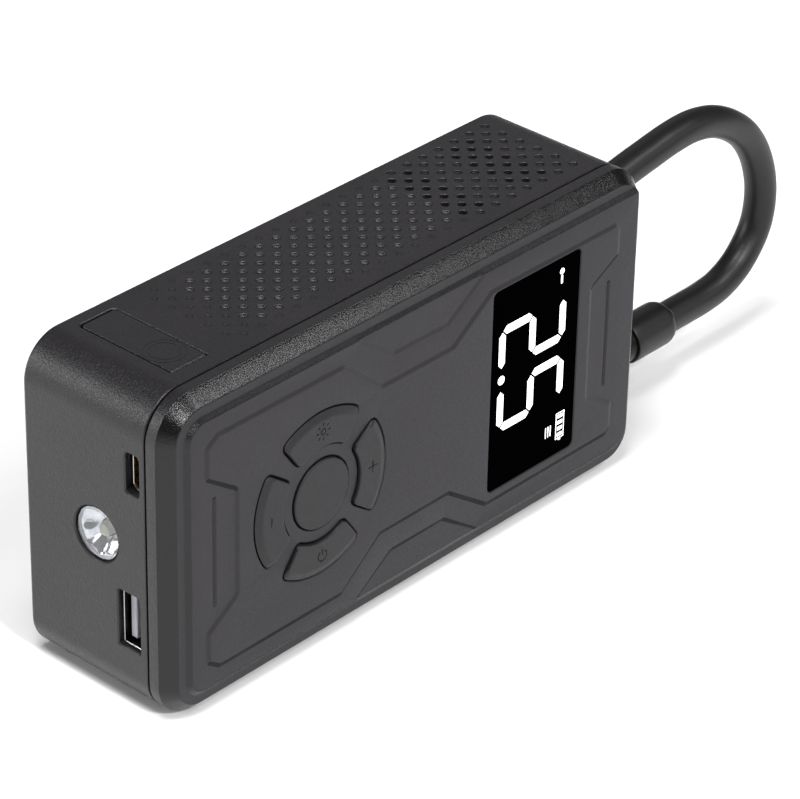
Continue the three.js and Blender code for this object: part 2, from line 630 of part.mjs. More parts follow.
function cylinderBody() {
  const sleeve = barZ(CYLINDER.x, SHAFT_Y, CYLINDER.r, CYLINDER.z0, CYLINDER.z1, 28);
  const foot = block(HEAD.x0, HEAD.x1, HEAD.y0, HEAD.y1, CYLINDER.z0, CYLINDER.z0 + 2.2);
  return cut(
    join(sleeve, foot),
    barZ(CYLINDER.x, SHAFT_Y, BORE_R, CYLINDER.z0 - 1, CYLINDER.z1 + 1, 28),
    ...HEAD_SCREWS.map(([x, y]) => barZ(x, y, 1.4, 46, 50, 12)),
  );
}

function valvePlate() {
  const plate = barZ(CYLINDER.x, SHAFT_Y, CYLINDER.r - 0.2, CYLINDER.z1 + GAP, HEAD.z0 - GAP, 24);
  const ports = [-3, 3].map((dx) => barZ(CYLINDER.x + dx, SHAFT_Y, 1.1, 61, 65, 10));
  return cut(plate, ...ports);
}

function cylinderHead() {
  const outline = evenRect(HEAD.x0, HEAD.x1, HEAD.y0, HEAD.y1, 2);
  const chamber = barZ(CYLINDER.x, SHAFT_Y, 5.5, HEAD.z0 - 1, 67, 20);
  const outlet = barX(OUTLET_Y, OUTLET_Z, 1.9, HEAD.x1 - 1, HEAD.x1 + 4.4, 12);
  const duct = barX(OUTLET_Y, OUTLET_Z, 1, CYLINDER.x, HEAD.x1 + 6, 10);
  const holes = HEAD_SCREWS.map(([x, y]) => barZ(x, y, 1.4, 62, 71, 12));
  return cut(join(alongZ(outline, HEAD.z0, HEAD.z1, 2), outlet), chamber, duct, ...holes);
}

function airTube() {
  const start = HEAD.x1 + 4.4 + GAP;
  const route = [
    [start, OUTLET_Y, OUTLET_Z], [start + 1.5, OUTLET_Y, OUTLET_Z], [132.4, 13.2, 63.6],
    [135.6, 12.3, 60], [139, HOSE_Y, HOSE_Z], [140.6, HOSE_Y, HOSE_Z],
  ];
  return tubeAlong(route, 2.5, 14, 10);
}

// ---------- hose, gland and chuck ----------
function hoseGland() {
  const inside = LENGTH - WALL;
  return join(
    barX(HOSE_Y, HOSE_Z, 2, 141, 144),
    barX(HOSE_Y, HOSE_Z, 6.3, inside - GAP - 2, inside - GAP, 20),
    barX(HOSE_Y, HOSE_Z, 5.1, inside - 1, LENGTH + 1, 20),
    barX(HOSE_Y, HOSE_Z, GLAND_R, LENGTH + GAP, GLAND_END, 20),
  );
}

function airHose() {
  return tubeAlong(HOSE_ROUTE.map(([x, z]) => [x, HOSE_Y, z]), HOSE_R, 44, 10);
}

function hoseCollar() {
  const { x0, x1, r } = COLLAR;
  const profile = [[0, x0], [r - 0.4, x0], [r, x0 + 0.4], [r, x1 - 1.2], [r - 1.2, x1], [0, x1]];
  return turnedAboutX(profile, HOSE_Y, CHUCK_Z, 20);
}

function chuckBody() {
  const body = barX(HOSE_Y, CHUCK_Z, CHUCK_R, CHUCK.x0, CHUCK.x1, 20);
  return cut(
    body,
    barX(HOSE_Y, CHUCK_Z, CHUCK_BORE_R, CHUCK.x0 - 1, CHUCK.x0 + 11, 20),
    barX(HOSE_Y, CHUCK_Z, 1.2, CHUCK.x0, CHUCK.x1 + 1, 12),
  );
}

function chuckSeal() {
  const ring = barX(HOSE_Y, CHUCK_Z, 3.5, CHUCK.x0 + 9.2, CHUCK.x0 + 10.7, 20);
  return cut(ring, barX(HOSE_Y, CHUCK_Z, 1.3, CHUCK.x0, CHUCK.x1, 12));
}

function chuckPin() {
  return barX(HOSE_Y, CHUCK_Z, 0.75, CHUCK.x0 + 6.5, CHUCK.x0 + 14, 10);
}

// ---------- fasteners ----------
// A case screw goes in from the back: its head sits on the seat and its tip is in the front cover.
function caseScrew([x, z]) {
  const seat = SCREW_SEAT + GAP;
  return join(barY(x, z, 2.3, seat, seat + 2, 12), barY(x, z, 1.15, CASE_SCREW_TIP, seat + 1, 10));
}

// A bracket screw goes in from the front, through the bracket's tab into a post of the rear shell.
function bracketScrew([x, z]) {
  return join(barY(x, z, 2.2, 27, 29, 12), barY(x, z, 1.05, 28, 33.5, 10));
}

function motorScrew(y) {
  const seat = PLATE.x1 + GAP;
  return join(barX(y, MOTOR_Z, 1.9, seat, seat + 1.1, 12), barX(y, MOTOR_Z, 1.1, MOTOR.x1 - 2.5, seat + 1, 10));
}

function headScrew([x, y]) {
  const seat = HEAD.z1 + GAP;
  return join(barZ(x, y, 2.1, seat, seat + 1.6, 12), barZ(x, y, 1.1, SHELF.z0, seat + 1, 10));
}

// ---------- assembly ----------
addPart('rear_shell', rearShell(), SHELL_PLASTIC);
addPart('front_cover', frontCover(), COVER_PLASTIC);
KEYS.forEach((key) => {
  addPart(`button_${key.name}`, keyCap(key), KEY_RUBBER);
  addPart(`switch_${key.name}`, keySwitch(key), BLACK_NYLON);
});
addPart('display_window', displayWindow(), WINDOW_ACRYLIC);
addPart('display_module', displayModule(), WHITE_PLASTIC);
addPart('main_pcb', mainBoard(), BOARD_GREEN);
addPart('pressure_sensor', pressureSensor(), BLACK_NYLON);

addPart('usb_a_shell', portShell(USB_A, 2), STEEL);
addPart('usb_a_tongue', usbATongue(), WHITE_PLASTIC);
addPart('usb_c_shell', portShell(USB_C, 4), STEEL);
addPart('usb_c_tongue', usbCTongue(), GOLD);
addPart('torch_lens', torchLens(), CLEAR_LENS);
addPart('torch_reflector', torchReflector(), CHROME);
addPart('torch_led', torchLed(), WHITE_PLASTIC);

addPart('port_cover', portCover(), SHELL_PLASTIC);
addPart('jump_socket', jumpSocket(), BLUE_NYLON);
addPart('jump_contact_positive', jumpContact(JACK_POLES[0]), GOLD);
addPart('jump_contact_negative', jumpContact(JACK_POLES[1]), GOLD);

for (let i = 0; i < CELL_COUNT; i += 1) {
  addPart(`battery_cell_${i + 1}`, batteryCell(i), CELL_POUCH);
}
addPart('battery_lead_positive', batteryLead(JACK_POLES[0]), RED_SILICONE);
addPart('battery_lead_negative', batteryLead(JACK_POLES[1]), BLACK_SILICONE);

addPart('motor_can', motorCan(), STEEL);
addPart('motor_end_bell', motorEndBell(), BLACK_NYLON);
addPart('motor_pinion', motorPinion(), STEEL);
addPart('crank_gear', crankGear(), GEAR_NYLON);
addPart('crank_axle', crankAxle(), STEEL);
addPart('pump_bracket', pumpBracket(), ZINC);
addPart('piston_rod', pistonRod(), GEAR_NYLON);
addPart('piston_cup', pistonCup(), BLACK_SILICONE);
addPart('cylinder', cylinderBody(), ZINC);
addPart('valve_plate', valvePlate(), STEEL);
addPart('cylinder_head', cylinderHead(), ZINC);
addPart('air_tube', airTube(), BLACK_SILICONE);

addPart('hose_gland', hoseGland(), HOSE_RUBBER);
addPart('air_hose', airHose(), HOSE_RUBBER);
addPart('hose_collar', hoseCollar(), HOSE_RUBBER);
addPart('chuck_body', chuckBody(), NICKEL);
addPart('chuck_seal', chuckSeal(), BLACK_SILICONE);
addPart('chuck_pin', chuckPin(), NICKEL);

CASE_SCREWS.forEach((spot, i) => addPart(`case_screw_${i + 1}`, caseScrew(spot), STEEL));
MOTOR_SCREW_Y.forEach((y, i) => addPart(`motor_screw_${i + 1}`, motorScrew(y), STEEL));
BRACKET_SCREWS.forEach((spot, i) => addPart(`bracket_screw_${i + 1}`, bracketScrew(spot), STEEL));
HEAD_SCREWS.forEach((spot, i) => addPart(`head_screw_${i + 1}`, headScrew(spot), STEEL));

pack.position.set(-LENGTH / 2, -(REAR_DEPTH + RING_KEY_TOP) / 2, 0);

export default pack;
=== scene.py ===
"""Jump starter pack with a built-in tyre inflator, standing on its long side.

Shapes are worked out in millimetres from one corner of the housing: X runs from the port end to the hose
end, Y from the seam back into the rear shell (the cover and its keys lie at negative Y) and Z upwards.
"""
import json
import math

import bpy
import numpy as np
from mathutils import Matrix, Vector
from mathutils.geometry import delaunay_2d_cdt


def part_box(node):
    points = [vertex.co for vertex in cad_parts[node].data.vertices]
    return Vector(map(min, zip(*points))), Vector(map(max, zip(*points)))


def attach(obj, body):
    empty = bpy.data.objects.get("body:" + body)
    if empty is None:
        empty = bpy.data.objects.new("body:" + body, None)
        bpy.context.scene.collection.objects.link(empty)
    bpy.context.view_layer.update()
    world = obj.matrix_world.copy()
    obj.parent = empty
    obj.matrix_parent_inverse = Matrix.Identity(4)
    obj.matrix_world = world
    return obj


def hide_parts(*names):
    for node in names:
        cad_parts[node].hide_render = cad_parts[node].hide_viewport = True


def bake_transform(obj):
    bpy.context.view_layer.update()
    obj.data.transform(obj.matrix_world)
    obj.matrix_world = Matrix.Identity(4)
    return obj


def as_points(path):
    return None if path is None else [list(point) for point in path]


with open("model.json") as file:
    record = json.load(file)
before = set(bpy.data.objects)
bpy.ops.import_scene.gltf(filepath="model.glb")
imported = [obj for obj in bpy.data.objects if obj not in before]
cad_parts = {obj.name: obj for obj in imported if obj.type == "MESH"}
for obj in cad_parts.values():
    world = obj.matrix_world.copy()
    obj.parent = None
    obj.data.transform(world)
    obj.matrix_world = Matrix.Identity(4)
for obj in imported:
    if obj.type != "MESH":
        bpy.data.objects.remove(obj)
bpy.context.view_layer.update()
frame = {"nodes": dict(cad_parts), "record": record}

# ---------- sizes, from the frame ----------
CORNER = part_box("rear_shell")[0]


def node_box(node):
    """Lowest and highest corner of a CAD node, in millimetres from the housing's corner."""
    low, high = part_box(node)
    return (low - CORNER) * 1000, (high - CORNER) * 1000


def node_centre(node):
    low, high = node_box(node)
    return (low + high) / 2


LENGTH, REAR_DEPTH, HEIGHT = node_box("rear_shell")[1]
TOP_CORNER = 9.8
BOTTOM_CORNER = 8.9
WALL = 2.2
TAU = 2 * math.pi
QUARTER = math.pi / 2


# ---------- outlines: lists of (u, v) points, anticlockwise ----------
SHARPEST = 0.02
LONGEST_ROUNDING = 0.45


def arc(u, v, r, start, end, count):
    """Points on a circle from the angle start to the angle end."""
    angles = np.linspace(start, end, count)
    return [(u + r * math.cos(a), v + r * math.sin(a)) for a in angles]


def rounded_rect(u0, u1, v0, v1, radii, count=9):
    """Rounded rectangle; radii are those of the low-low, high-low, high-high and low-high corners."""
    a, b, c, d = (max(r, SHARPEST) for r in radii)
    return (
        arc(u0 + a, v0 + a, a, math.pi, 3 * QUARTER, count)
        + arc(u1 - b, v0 + b, b, 3 * QUARTER, TAU, count)
        + arc(u1 - c, v1 - c, c, 0, QUARTER, count)
        + arc(u0 + d, v1 - d, d, QUARTER, math.pi, count)
    )


def circle(u, v, r, count=48):
    return arc(u, v, r, 0, TAU, count + 1)[:-1]


def housing_outline(inset, count=15):
    """The pack's outline seen from the front, moved inwards."""
    low, high = BOTTOM_CORNER - inset, TOP_CORNER - inset
    return rounded_rect(inset, LENGTH - inset, inset, HEIGHT - inset, (low, low, high, high), count)


def node_outline(node, plane, grow, corner, count):
    """A CAD node's box in the plane "xz" or "yz", moved outwards, with rounded corners."""
    low, high = (getattr(point, plane) for point in node_box(node))
    return rounded_rect(low.x - grow, high.x + grow, low.y - grow, high.y + grow, [corner] * 4, count)


def offset_polygon(corners, distance):
    """A polygon with every side moved inwards by distance, its corners kept sharp."""
    moved = []
    for i, here in enumerate(corners):
        before = Vector(here) - Vector(corners[i - 1])
        after = Vector(corners[(i + 1) % len(corners)]) - Vector(here)
        n0 = Vector((-before.y, before.x)).normalized()
        n1 = Vector((-after.y, after.x)).normalized()
        bisector = (n0 + n1) / (1 + n0.dot(n1))
        moved.append(tuple(Vector(here) + bisector * distance))
    return moved


def round_polygon(corners, radius, count=6):
    """A polygon with its corners rounded by as much of radius as the shorter side allows."""
    points = []
    for i, here in enumerate(corners):
        p = Vector(here)
        a = Vector(corners[i - 1]) - p
        b = Vector(corners[(i + 1) % len(corners)]) - p
        half = a.angle(b) / 2
        reach = min(radius / math.tan(half), LONGEST_ROUNDING * min(a.length, b.length))
        start, end = p + a.normalized() * reach, p + b.normalized() * reach
        for t in np.linspace(0, 1, count):
            points.append(tuple(start * (1 - t) ** 2 + p * 2 * t * (1 - t) + end * t * t))
    return points


def inside_distance(points, outline):
    """How far each point lies inside a closed outline; negative outside."""
    p = np.asarray(points, float)
    a = np.asarray(outline, float)
    b = np.roll(a, -1, axis=0)
    edge = b - a
    keep = (edge ** 2).sum(1) > 1e-12
    a, b, edge = a[keep], b[keep], edge[keep]
    best = np.full(len(p), np.inf)
    inside = np.zeros(len(p), bool)
    for (ax, ay), (bx, by), (ex, ey) in zip(a, b, edge):
        wx, wy = p[:, 0] - ax, p[:, 1] - ay
        t = np.clip((wx * ex + wy * ey) / (ex * ex + ey * ey), 0, 1)
        best = np.minimum(best, (wx - t * ex) ** 2 + (wy - t * ey) ** 2)
        crosses = (ay > p[:, 1]) != (by > p[:, 1])
        if ey:
            inside ^= crosses & (p[:, 0] < ax + (p[:, 1] - ay) * ex / ey)
    return np.where(inside, 1, -1) * np.sqrt(best)


# ---------- meshes ----------
def add_object(name, data):
    thing = bpy.data.objects.new(name, data)
    bpy.context.scene.collection.objects.link(thing)
    return thing


def discard(piece):
    mesh = piece.data
    bpy.data.objects.remove(piece)
    bpy.data.meshes.remove(mesh)


def mesh_object(name, points, faces):
    """A smooth-shaded mesh object from points in metres."""
    mesh = bpy.data.meshes.new(name)
    mesh.from_pydata(points, [], faces)
    mesh.validate()
    mesh.update()
    mesh.shade_smooth()
    return add_object(name, mesh)


def new_mesh(name, points, faces):
    """A mesh object from points in millimetres, measured from the housing's corner."""
    return mesh_object(name, [tuple(CORNER + Vector(p) / 1000) for p in points], faces)


def soften(piece, angle=32):
    """Sharp edges only where faces meet at more than angle, with flat faces kept flat."""
    piece.data.set_sharp_from_angle(angle=math.radians(angle))
    normals = piece.modifiers.new("flat_faces", "WEIGHTED_NORMAL")
    normals.keep_sharp = True
    return piece


def finish_piece(piece, material, body, slot, *nodes):
    """Give a piece its finish, the body it moves with and the CAD nodes it stands for."""
    if material is not None:
        piece.data.materials.append(material)
    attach(piece, body)
    if nodes:
        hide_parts(*nodes)
    return piece


def skin_rings(rings, start_cap=True, end_cap=True):
    """Points and faces of a skin over rings that all have the same number of points."""
    count = len(rings[0])
    points = [p for ring in rings for p in ring]
    faces = []
    for r in range(len(rings) - 1):
        low, high = r * count, (r + 1) * count
        for i in range(count):
            j = (i + 1) % count
            faces.append((low + i, low + j, high + j, high + i))
    if start_cap:
        faces.append(tuple(reversed(range(count))))
    if end_cap:
        faces.append(tuple(range((len(rings) - 1) * count, len(rings) * count)))
    return points, faces


def along_y(outline, y):
    return [(u, y, v) for u, v in outline]


def along_x(outline, x):
    return [(x, u, v) for u, v in outline]


def along_z(outline, z):
    return [(u, v, z) for u, v in outline]


def fix_direction(piece):
    """Turn a closed mesh's faces outwards."""
    volume = sum(side.center.dot(side.normal) * side.area for side in piece.data.polygons)
    if volume < 0:
        piece.data.flip_normals()
    return piece


def skin(name, rings):
    """A closed piece skinned over rings."""
    return fix_direction(new_mesh(name, *skin_rings(rings)))


def closed_ring(name, rings):
    """A ring-shaped piece skinned over rings, the last one joined to the first."""
    points, faces = skin_rings(rings, False, False)
    count = len(rings[0])
    last = len(points) - count
    faces += [(last + i, last + (i + 1) % count, (i + 1) % count, i) for i in range(count)]
    return fix_direction(new_mesh(name, points, faces))


TURNS = {
    "X": lambda u, v, d: (d, u, v),
    "Y": lambda u, v, d: (v, d, u),
    "Z": lambda u, v, d: (u, v, d),
}


def turned_rings(profile, origin, axis, count):
    """Rings about an axis through origin; profile is (radius, distance along the axis)."""
    return [
        [tuple(Vector(origin) + Vector(TURNS[axis](u, v, d))) for u, v in circle(0, 0, r, count)]
        for r, d in profile
    ]


def turned(name, profile, origin, axis="X", count=48):
    """A solid piece turned about an axis; its profile starts and ends on the axis."""
    off_axis = [(max(r, 1e-4), d) for r, d in profile]
    return skin(name, turned_rings(off_axis, origin, axis, count))


def tube(name, radii, ends, origin, axis, count=40):
    """A tube about an axis through origin, between two radii and two distances along the axis."""
    (inner, outer), (a, b) = radii, ends
    profile = [(inner, a), (inner, b), (outer, b), (outer, a)]
    return closed_ring(name, turned_rings(profile, origin, axis, count))


def joined(name, pieces):
    """Several meshes made into one piece."""
    points, faces = [], []
    for piece in pieces:
        base = len(points)
        points += [v.co.copy() for v in piece.data.vertices]
        faces += [tuple(base + i for i in p.vertices) for p in piece.data.polygons]
        discard(piece)
    return mesh_object(name, points, faces)


def carve(piece, tool, operation="DIFFERENCE"):
    """Cut a tool out of a piece, or join it on, and keep the result as a plain mesh."""
    step = piece.modifiers.new("carve", "BOOLEAN")
    step.operation = operation
    step.solver = "EXACT"
    step.object = tool
    bpy.context.view_layer.update()
    result = bpy.data.meshes.new_from_object(piece.evaluated_get(bpy.context.evaluated_depsgraph_get()))
    old = piece.data
    piece.modifiers.clear()
    piece.data = result
    result.name = old.name
    bpy.data.meshes.remove(old)
    discard(tool)
    piece.data.shade_smooth()
    return piece


SLOPE_STEP = 0.03


def relief_sheet(outer, holes, contours, height):
    """Triangles over the area between an outer outline and its holes, cut along every contour.

    height(points) is the depth at each (u, v) point. Returns points as (u, v, depth), faces, the outer and
    hole loops as indices into the points, and the slopes at each point.
    """
    loops = [outer, *holes, *contours]
    flat, edges, spans = [], [], []
    for loop in loops:
        base = len(flat)
        flat += [Vector(p) for p in loop]
        edges += [(base + i, base + (i + 1) % len(loop)) for i in range(len(loop))]
        spans.append((base, len(loop)))
    out, _, triangles, origins, _, _ = delaunay_2d_cdt(flat, edges, [], 0, 1e-5, True)
    home = {source: index for index, sources in enumerate(origins) for source in sources}
    points = np.array([tuple(p) for p in out])
    centres = np.array([points[list(t)].mean(0) for t in triangles])
    keep = inside_distance(centres, outer) > 0
    for hole in holes:
        keep &= inside_distance(centres, hole) < 0
    faces = [tuple(t) for t, kept in zip(triangles, keep) if kept]
    borders = [[home[base + i] for i in range(count)] for base, count in spans[: 1 + len(holes)]]
    depth = height(points)
    slopes = [
        (height(points + step) - height(points - step)) / (2 * SLOPE_STEP)
        for step in ((SLOPE_STEP, 0), (0, SLOPE_STEP))
    ]
    return np.column_stack([points, depth]), faces, borders, np.column_stack(slopes)


def softened(distance, inset, rise, radius):
    """A profile of straight stretches through (inset, rise) points, its corners rounded over radius."""
    shifts = np.linspace(-radius, radius, 9)
    return sum(np.interp(distance + s, inset, rise) for s in shifts) / len(shifts)


# ---------- materials ----------
def shader(name, **values):
    """A new material with values set on its principled shader, and its node tree."""
    material = bpy.data.materials.new(name)
    material.use_nodes = True
    surface = material.node_tree.nodes["Principled BSDF"]
    for socket, value in values.items():
        surface.inputs[socket.replace("_", " ")].default_value = value
    return material, material.node_tree


def object_noise(tree, size_mm, detail=2.0, roughness=0.5):
    """Noise whose features are about size_mm across, fixed to the piece."""
    place = tree.nodes.new("ShaderNodeTexCoord")
    noise = tree.nodes.new("ShaderNodeTexNoise")
    noise.inputs["Scale"].default_value = 1000 / size_mm
    noise.inputs["Detail"].default_value = detail
    noise.inputs["Roughness"].default_value = roughness
    tree.links.new(place.outputs["Object"], noise.inputs["Vector"])
    return noise.outputs["Fac"]


def ranged(tree, value, low, high):
    """The middle part of a noise, where most of it lies, mapped to the range low to high."""
    remap = tree.nodes.new("ShaderNodeMapRange")
    remap.inputs["From Min"].default_value = 0.35
    remap.inputs["From Max"].default_value = 0.65
    remap.inputs["To Min"].default_value = low
    remap.inputs["To Max"].default_value = high
    tree.links.new(value, remap.inputs["Value"])
    return remap.outputs["Result"]


def mixed_colour(tree, value, first, second):
    """A colour between two, chosen by the noise."""
    mix = tree.nodes.new("ShaderNodeMix")
    mix.data_type = "RGBA"
    mix.inputs["A"].default_value = (*first, 1)
    mix.inputs["B"].default_value = (*second, 1)
    tree.links.new(ranged(tree, value, 0, 1), mix.inputs["Factor"])
    return mix.outputs["Result"]


def bumped(tree, value, strength, depth_mm):
    bump = tree.nodes.new("ShaderNodeBump")
    bump.inputs["Strength"].default_value = strength
    bump.inputs["Distance"].default_value = depth_mm / 1000
    tree.links.new(value, bump.inputs["Height"])
    return bump.outputs["Normal"]


def scaled(colour, factor):
    return tuple(min(c * factor, 1) for c in colour)


def feed(material, **outputs):
    """Link node outputs to sockets of the material's principled shader."""
    tree = material.node_tree
    for socket, output in outputs.items():
        tree.links.new(output, tree.nodes["Principled BSDF"].inputs[socket.replace("_", " ")])
    return material


def moulded(name, colour, rough, grain_mm=0.35, grain_depth=0.05, spread=0.12, specular=0.5):
    """Moulded plastic or rubber: spark-eroded grain, slight flow marks in colour and roughness."""
    material, tree = shader(name, Specular_IOR_Level=specular)
    grain = object_noise(tree, grain_mm, 3.0, 0.6)
    flow = object_noise(tree, 14)
    return feed(
        material,
        Base_Color=mixed_colour(tree, flow, scaled(colour, 1 - spread), scaled(colour, 1 + spread)),
        Roughness=ranged(tree, grain, rough - 0.08, rough + 0.08),
        Normal=bumped(tree, grain, 0.6, grain_depth),
    )


def metal(name, colour, rough, brush_mm=0.3):
    """Plated or machined metal with fine tool marks and a little tarnish."""
    material, tree = shader(name, Metallic=1)
    marks = object_noise(tree, brush_mm, 4.0, 0.7)
    tarnish = object_noise(tree, 3)
    return feed(
        material,
        Base_Color=mixed_colour(tree, tarnish, scaled(colour, 0.78), colour),
        Roughness=ranged(tree, marks, rough * 0.75, rough * 1.3),
        Normal=bumped(tree, marks, 0.25, 0.01),
    )


def clear_plastic(name, colour, rough):
    """Clear moulded polycarbonate with faint flow lines."""
    material, tree = shader(name, Base_Color=(*colour, 1), Transmission_Weight=1, IOR=1.49)
    flow = object_noise(tree, 2.5, 1.0)
    return feed(material, Roughness=ranged(tree, flow, rough * 0.6, rough * 1.6))


def glowing(name, colour, strength):
    """A lit segment of the display, a touch uneven as light-emitting digits are."""
    material, tree = shader(name, Emission_Strength=strength, Roughness=0.4)
    tone = mixed_colour(tree, object_noise(tree, 1.5, 1.0), scaled(colour, 0.93), colour)
    return feed(material, Base_Color=tone, Emission_Color=tone)


SHELL = moulded("shell_plastic", (0.0090, 0.0077, 0.0095), 0.38, 0.45, 0.20, 0.12, specular=0.52)
COVER_COARSE = moulded("cover_plastic_coarse", (0.0034, 0.0031, 0.0032), 0.21, 0.32, 0.12, 0.1, specular=0.38)
COVER_FINE = moulded("cover_plastic_fine", (0.0078, 0.0060, 0.0090), 0.44, 0.30, 0.06, 0.08, specular=0.36)
# Painted shade: a duller copy of the cover plastic, with little sheen, so that slopes facing down read dark.
COVER_DOWN_SHADE = moulded("cover_plastic_down_shade", (0.0120, 0.0112, 0.0118), 0.60, 0.45, 0.10, 0.25, specular=0.08)
KEY = moulded("key_rubber", (0.0078, 0.0068, 0.0088), 0.48, 0.30, 0.07, 0.08, specular=0.36)
SIGN = moulded("key_sign", (0.002, 0.002, 0.0022), 0.45, 0.20, 0.010, 0.05, specular=0.15)
SMOKED = moulded("window_acrylic", (0.0003, 0.0003, 0.0004), 0.10, 3.0, 0.001, 0.10, specular=0.2)
SMOKED.node_tree.nodes["Principled BSDF"].inputs["IOR"].default_value = 1.02
LIT = glowing("lit_segment", (1.0, 1.0, 1.0), 1.1)
WHITE = moulded("white_plastic", (0.66, 0.66, 0.63), 0.42, 0.40, 0.010, 0.04)
BOARD = moulded("board_green", (0.018, 0.085, 0.033), 0.35, 0.60, 0.020, 0.20)
STEEL = metal("plated_steel", (0.62, 0.62, 0.63), 0.24)
NICKEL = metal("nickel_brass", (0.62, 0.56, 0.47), 0.22, 0.25)
GOLD = metal("gold_contact", (0.78, 0.55, 0.22), 0.25, 0.15)
NYLON = moulded("black_nylon", (0.010, 0.010, 0.010), 0.50, 0.30, 0.020, 0.15)
LENS = clear_plastic("torch_lens_clear", (0.97, 0.985, 1.0), 0.04)
CHROME = metal("reflector_metallised", (0.60, 0.61, 0.64), 0.16, 0.60)
PHOSPHOR = moulded("led_phosphor", (0.50, 0.48, 0.40), 0.35, 0.20, 0.010, 0.06)
BLUE = moulded("blue_nylon", (0.015, 0.055, 0.27), 0.45, 0.35, 0.020, 0.10)
POUCH = metal("cell_pouch_laminate", (0.55, 0.56, 0.58), 0.42, 1.2)
RED = moulded("red_silicone", (0.42, 0.02, 0.02), 0.50, 0.30, 0.015, 0.08)
SILICONE = moulded("black_silicone", (0.010, 0.010, 0.010), 0.48, 0.30, 0.015, 0.10)
ZINC = metal("cast_zinc", (0.40, 0.41, 0.42), 0.50, 0.50)
GEAR_NYLON = moulded("gear_nylon", (0.74, 0.72, 0.64), 0.45, 0.35, 0.010, 0.05)
TONGUE = moulded("tongue_plastic", (0.50, 0.51, 0.55), 0.40, 0.30, 0.006, 0.05)
FROST = moulded("frosted_rim", (0.72, 0.73, 0.74), 0.30, 0.30, 0.010, 0.05)
# Painted shade: nickel darkened for the inside of the USB-A shell and for the chuck, both seen in shadow.
NICKEL_IN_SHADE = metal("nickel_painted_shade", (0.022, 0.021, 0.020), 0.35, 0.25)
HOSE = moulded("hose_rubber", (0.0055, 0.0055, 0.0060), 0.40, 0.30, 0.05, 0.12, specular=0.38)

SLOT_MATERIALS = {
    "shell_plastic": SHELL, "cover_plastic": COVER_FINE, "key_rubber": KEY, "window_acrylic": SMOKED,
    "white_plastic": WHITE, "board_green": BOARD, "steel": STEEL, "nickel": NICKEL, "gold": GOLD,
    "black_nylon": NYLON, "clear_lens": LENS, "reflector": CHROME, "blue_nylon": BLUE, "cell_pouch": POUCH,
    "red_silicone": RED, "black_silicone": SILICONE, "zinc": ZINC, "gear_nylon": GEAR_NYLON,
    "hose_rubber": HOSE,
}


def paint_carried_nodes():
    """Every CAD node gets the finish of its slot, so that none stays plain."""
    slot_of = {entry["node"]: entry["material_slot"] for entry in frame["record"]["subparts"]}
    for node, piece in frame["nodes"].items():
        piece.data.materials.clear()
        piece.data.materials.append(SLOT_MATERIALS[slot_of[node]])


# ---------- camera, light and floor ----------
AZIMUTH, ELEVATION, ROLL = math.radians(-48.28), math.radians(31.18), math.radians(1.24)
TARGET = Vector((-0.0149, -0.0277, 0.0566))
DISTANCE = 0.780
FOCAL_LENGTH = 171.6
FLOOR_REACH = 3


def add_camera():
    back = Vector((
        math.sin(AZIMUTH) * math.cos(ELEVATION),
        -math.cos(AZIMUTH) * math.cos(ELEVATION),
        math.sin(ELEVATION),
    ))
    camera = add_object("camera", bpy.data.cameras.new("camera"))
    camera.data.lens = FOCAL_LENGTH
    camera.data.clip_start = 0.01
    turn = (-back).to_track_quat("-Z", "Y").to_matrix() @ Matrix.Rotation(ROLL, 3, "Z")
    camera.matrix_world = Matrix.Translation(TARGET + back * DISTANCE) @ turn.to_4x4()
    bpy.context.scene.camera = camera


def add_soft_box(name, place, size, power):
    """A square soft box that faces the pack."""
    data = bpy.data.lights.new(name, "AREA")
    data.size = size
    data.energy = power
    lamp = add_object(name, data)
    lamp.location = place
    lamp.rotation_euler = (Vector((0, 0, 0.03)) - Vector(place)).to_track_quat("-Z", "Y").to_euler()


def add_studio():
    bpy.context.scene.view_settings.view_transform = "Standard"
    world = bpy.data.worlds.new("studio")
    bpy.context.scene.world = world
    world.use_nodes = True
    background = world.node_tree.nodes["Background"]
    background.inputs["Color"].default_value = (1, 1, 1, 1)
    background.inputs["Strength"].default_value = 0.10
    add_soft_box("top_light", (-0.35, -0.10, 1.20), 0.45, 12.4)
    add_soft_box("right_light", (0.47, -0.52, 0.80), 0.20, 2.7)
    add_soft_box("front_light", (-0.23, -0.95, 0.94), 0.16, 10.5)
    add_soft_box("low_light", (-0.06, -1.20, 0.44), 0.16, 2.2)
    add_soft_box("side_light", (-0.95, 0.90, 0.52), 0.50, 7)
    add_soft_box("front_card", (1.15, -1.30, 0.64), 0.60, 2.4)
    add_soft_box("back_card", (1.00, 0.95, 0.80), 0.80, 0.8)


def add_floor():
    corners = [(-1, -1), (1, -1), (1, 1), (-1, 1)]
    floor = mesh_object("floor", [(FLOOR_REACH * x, FLOOR_REACH * y, 0) for x, y in corners], [(0, 1, 2, 3)])
    floor.data.materials.append(moulded("floor_paper", (0.90, 0.90, 0.90), 0.9, 2.0, 0.0, 0.01, specular=0.1))


# ---------- hose ----------
HOSE_Y = 12
HOSE_R = 3.85
CHUCK_Z = 14.7
# (x, z) points on the hose's middle line, from its gland to the chuck's collar.
HOSE_ROUTE = [
    (151, 59.3), (153.5, 59.4), (157.5, 59.8), (163, 60.8), (170.8, 62), (178.8, 63.1), (186.3, 63.3),
    (193.9, 61.8), (201.1, 58.3), (207.6, 53), (212.7, 45.4), (215.4, 36), (214.3, 26.9), (208.6, 19.5),
    (201.8, 15.9), (195, 14.8), (187.6, 14.7), (183, CHUCK_Z), (180.4, CHUCK_Z),
]


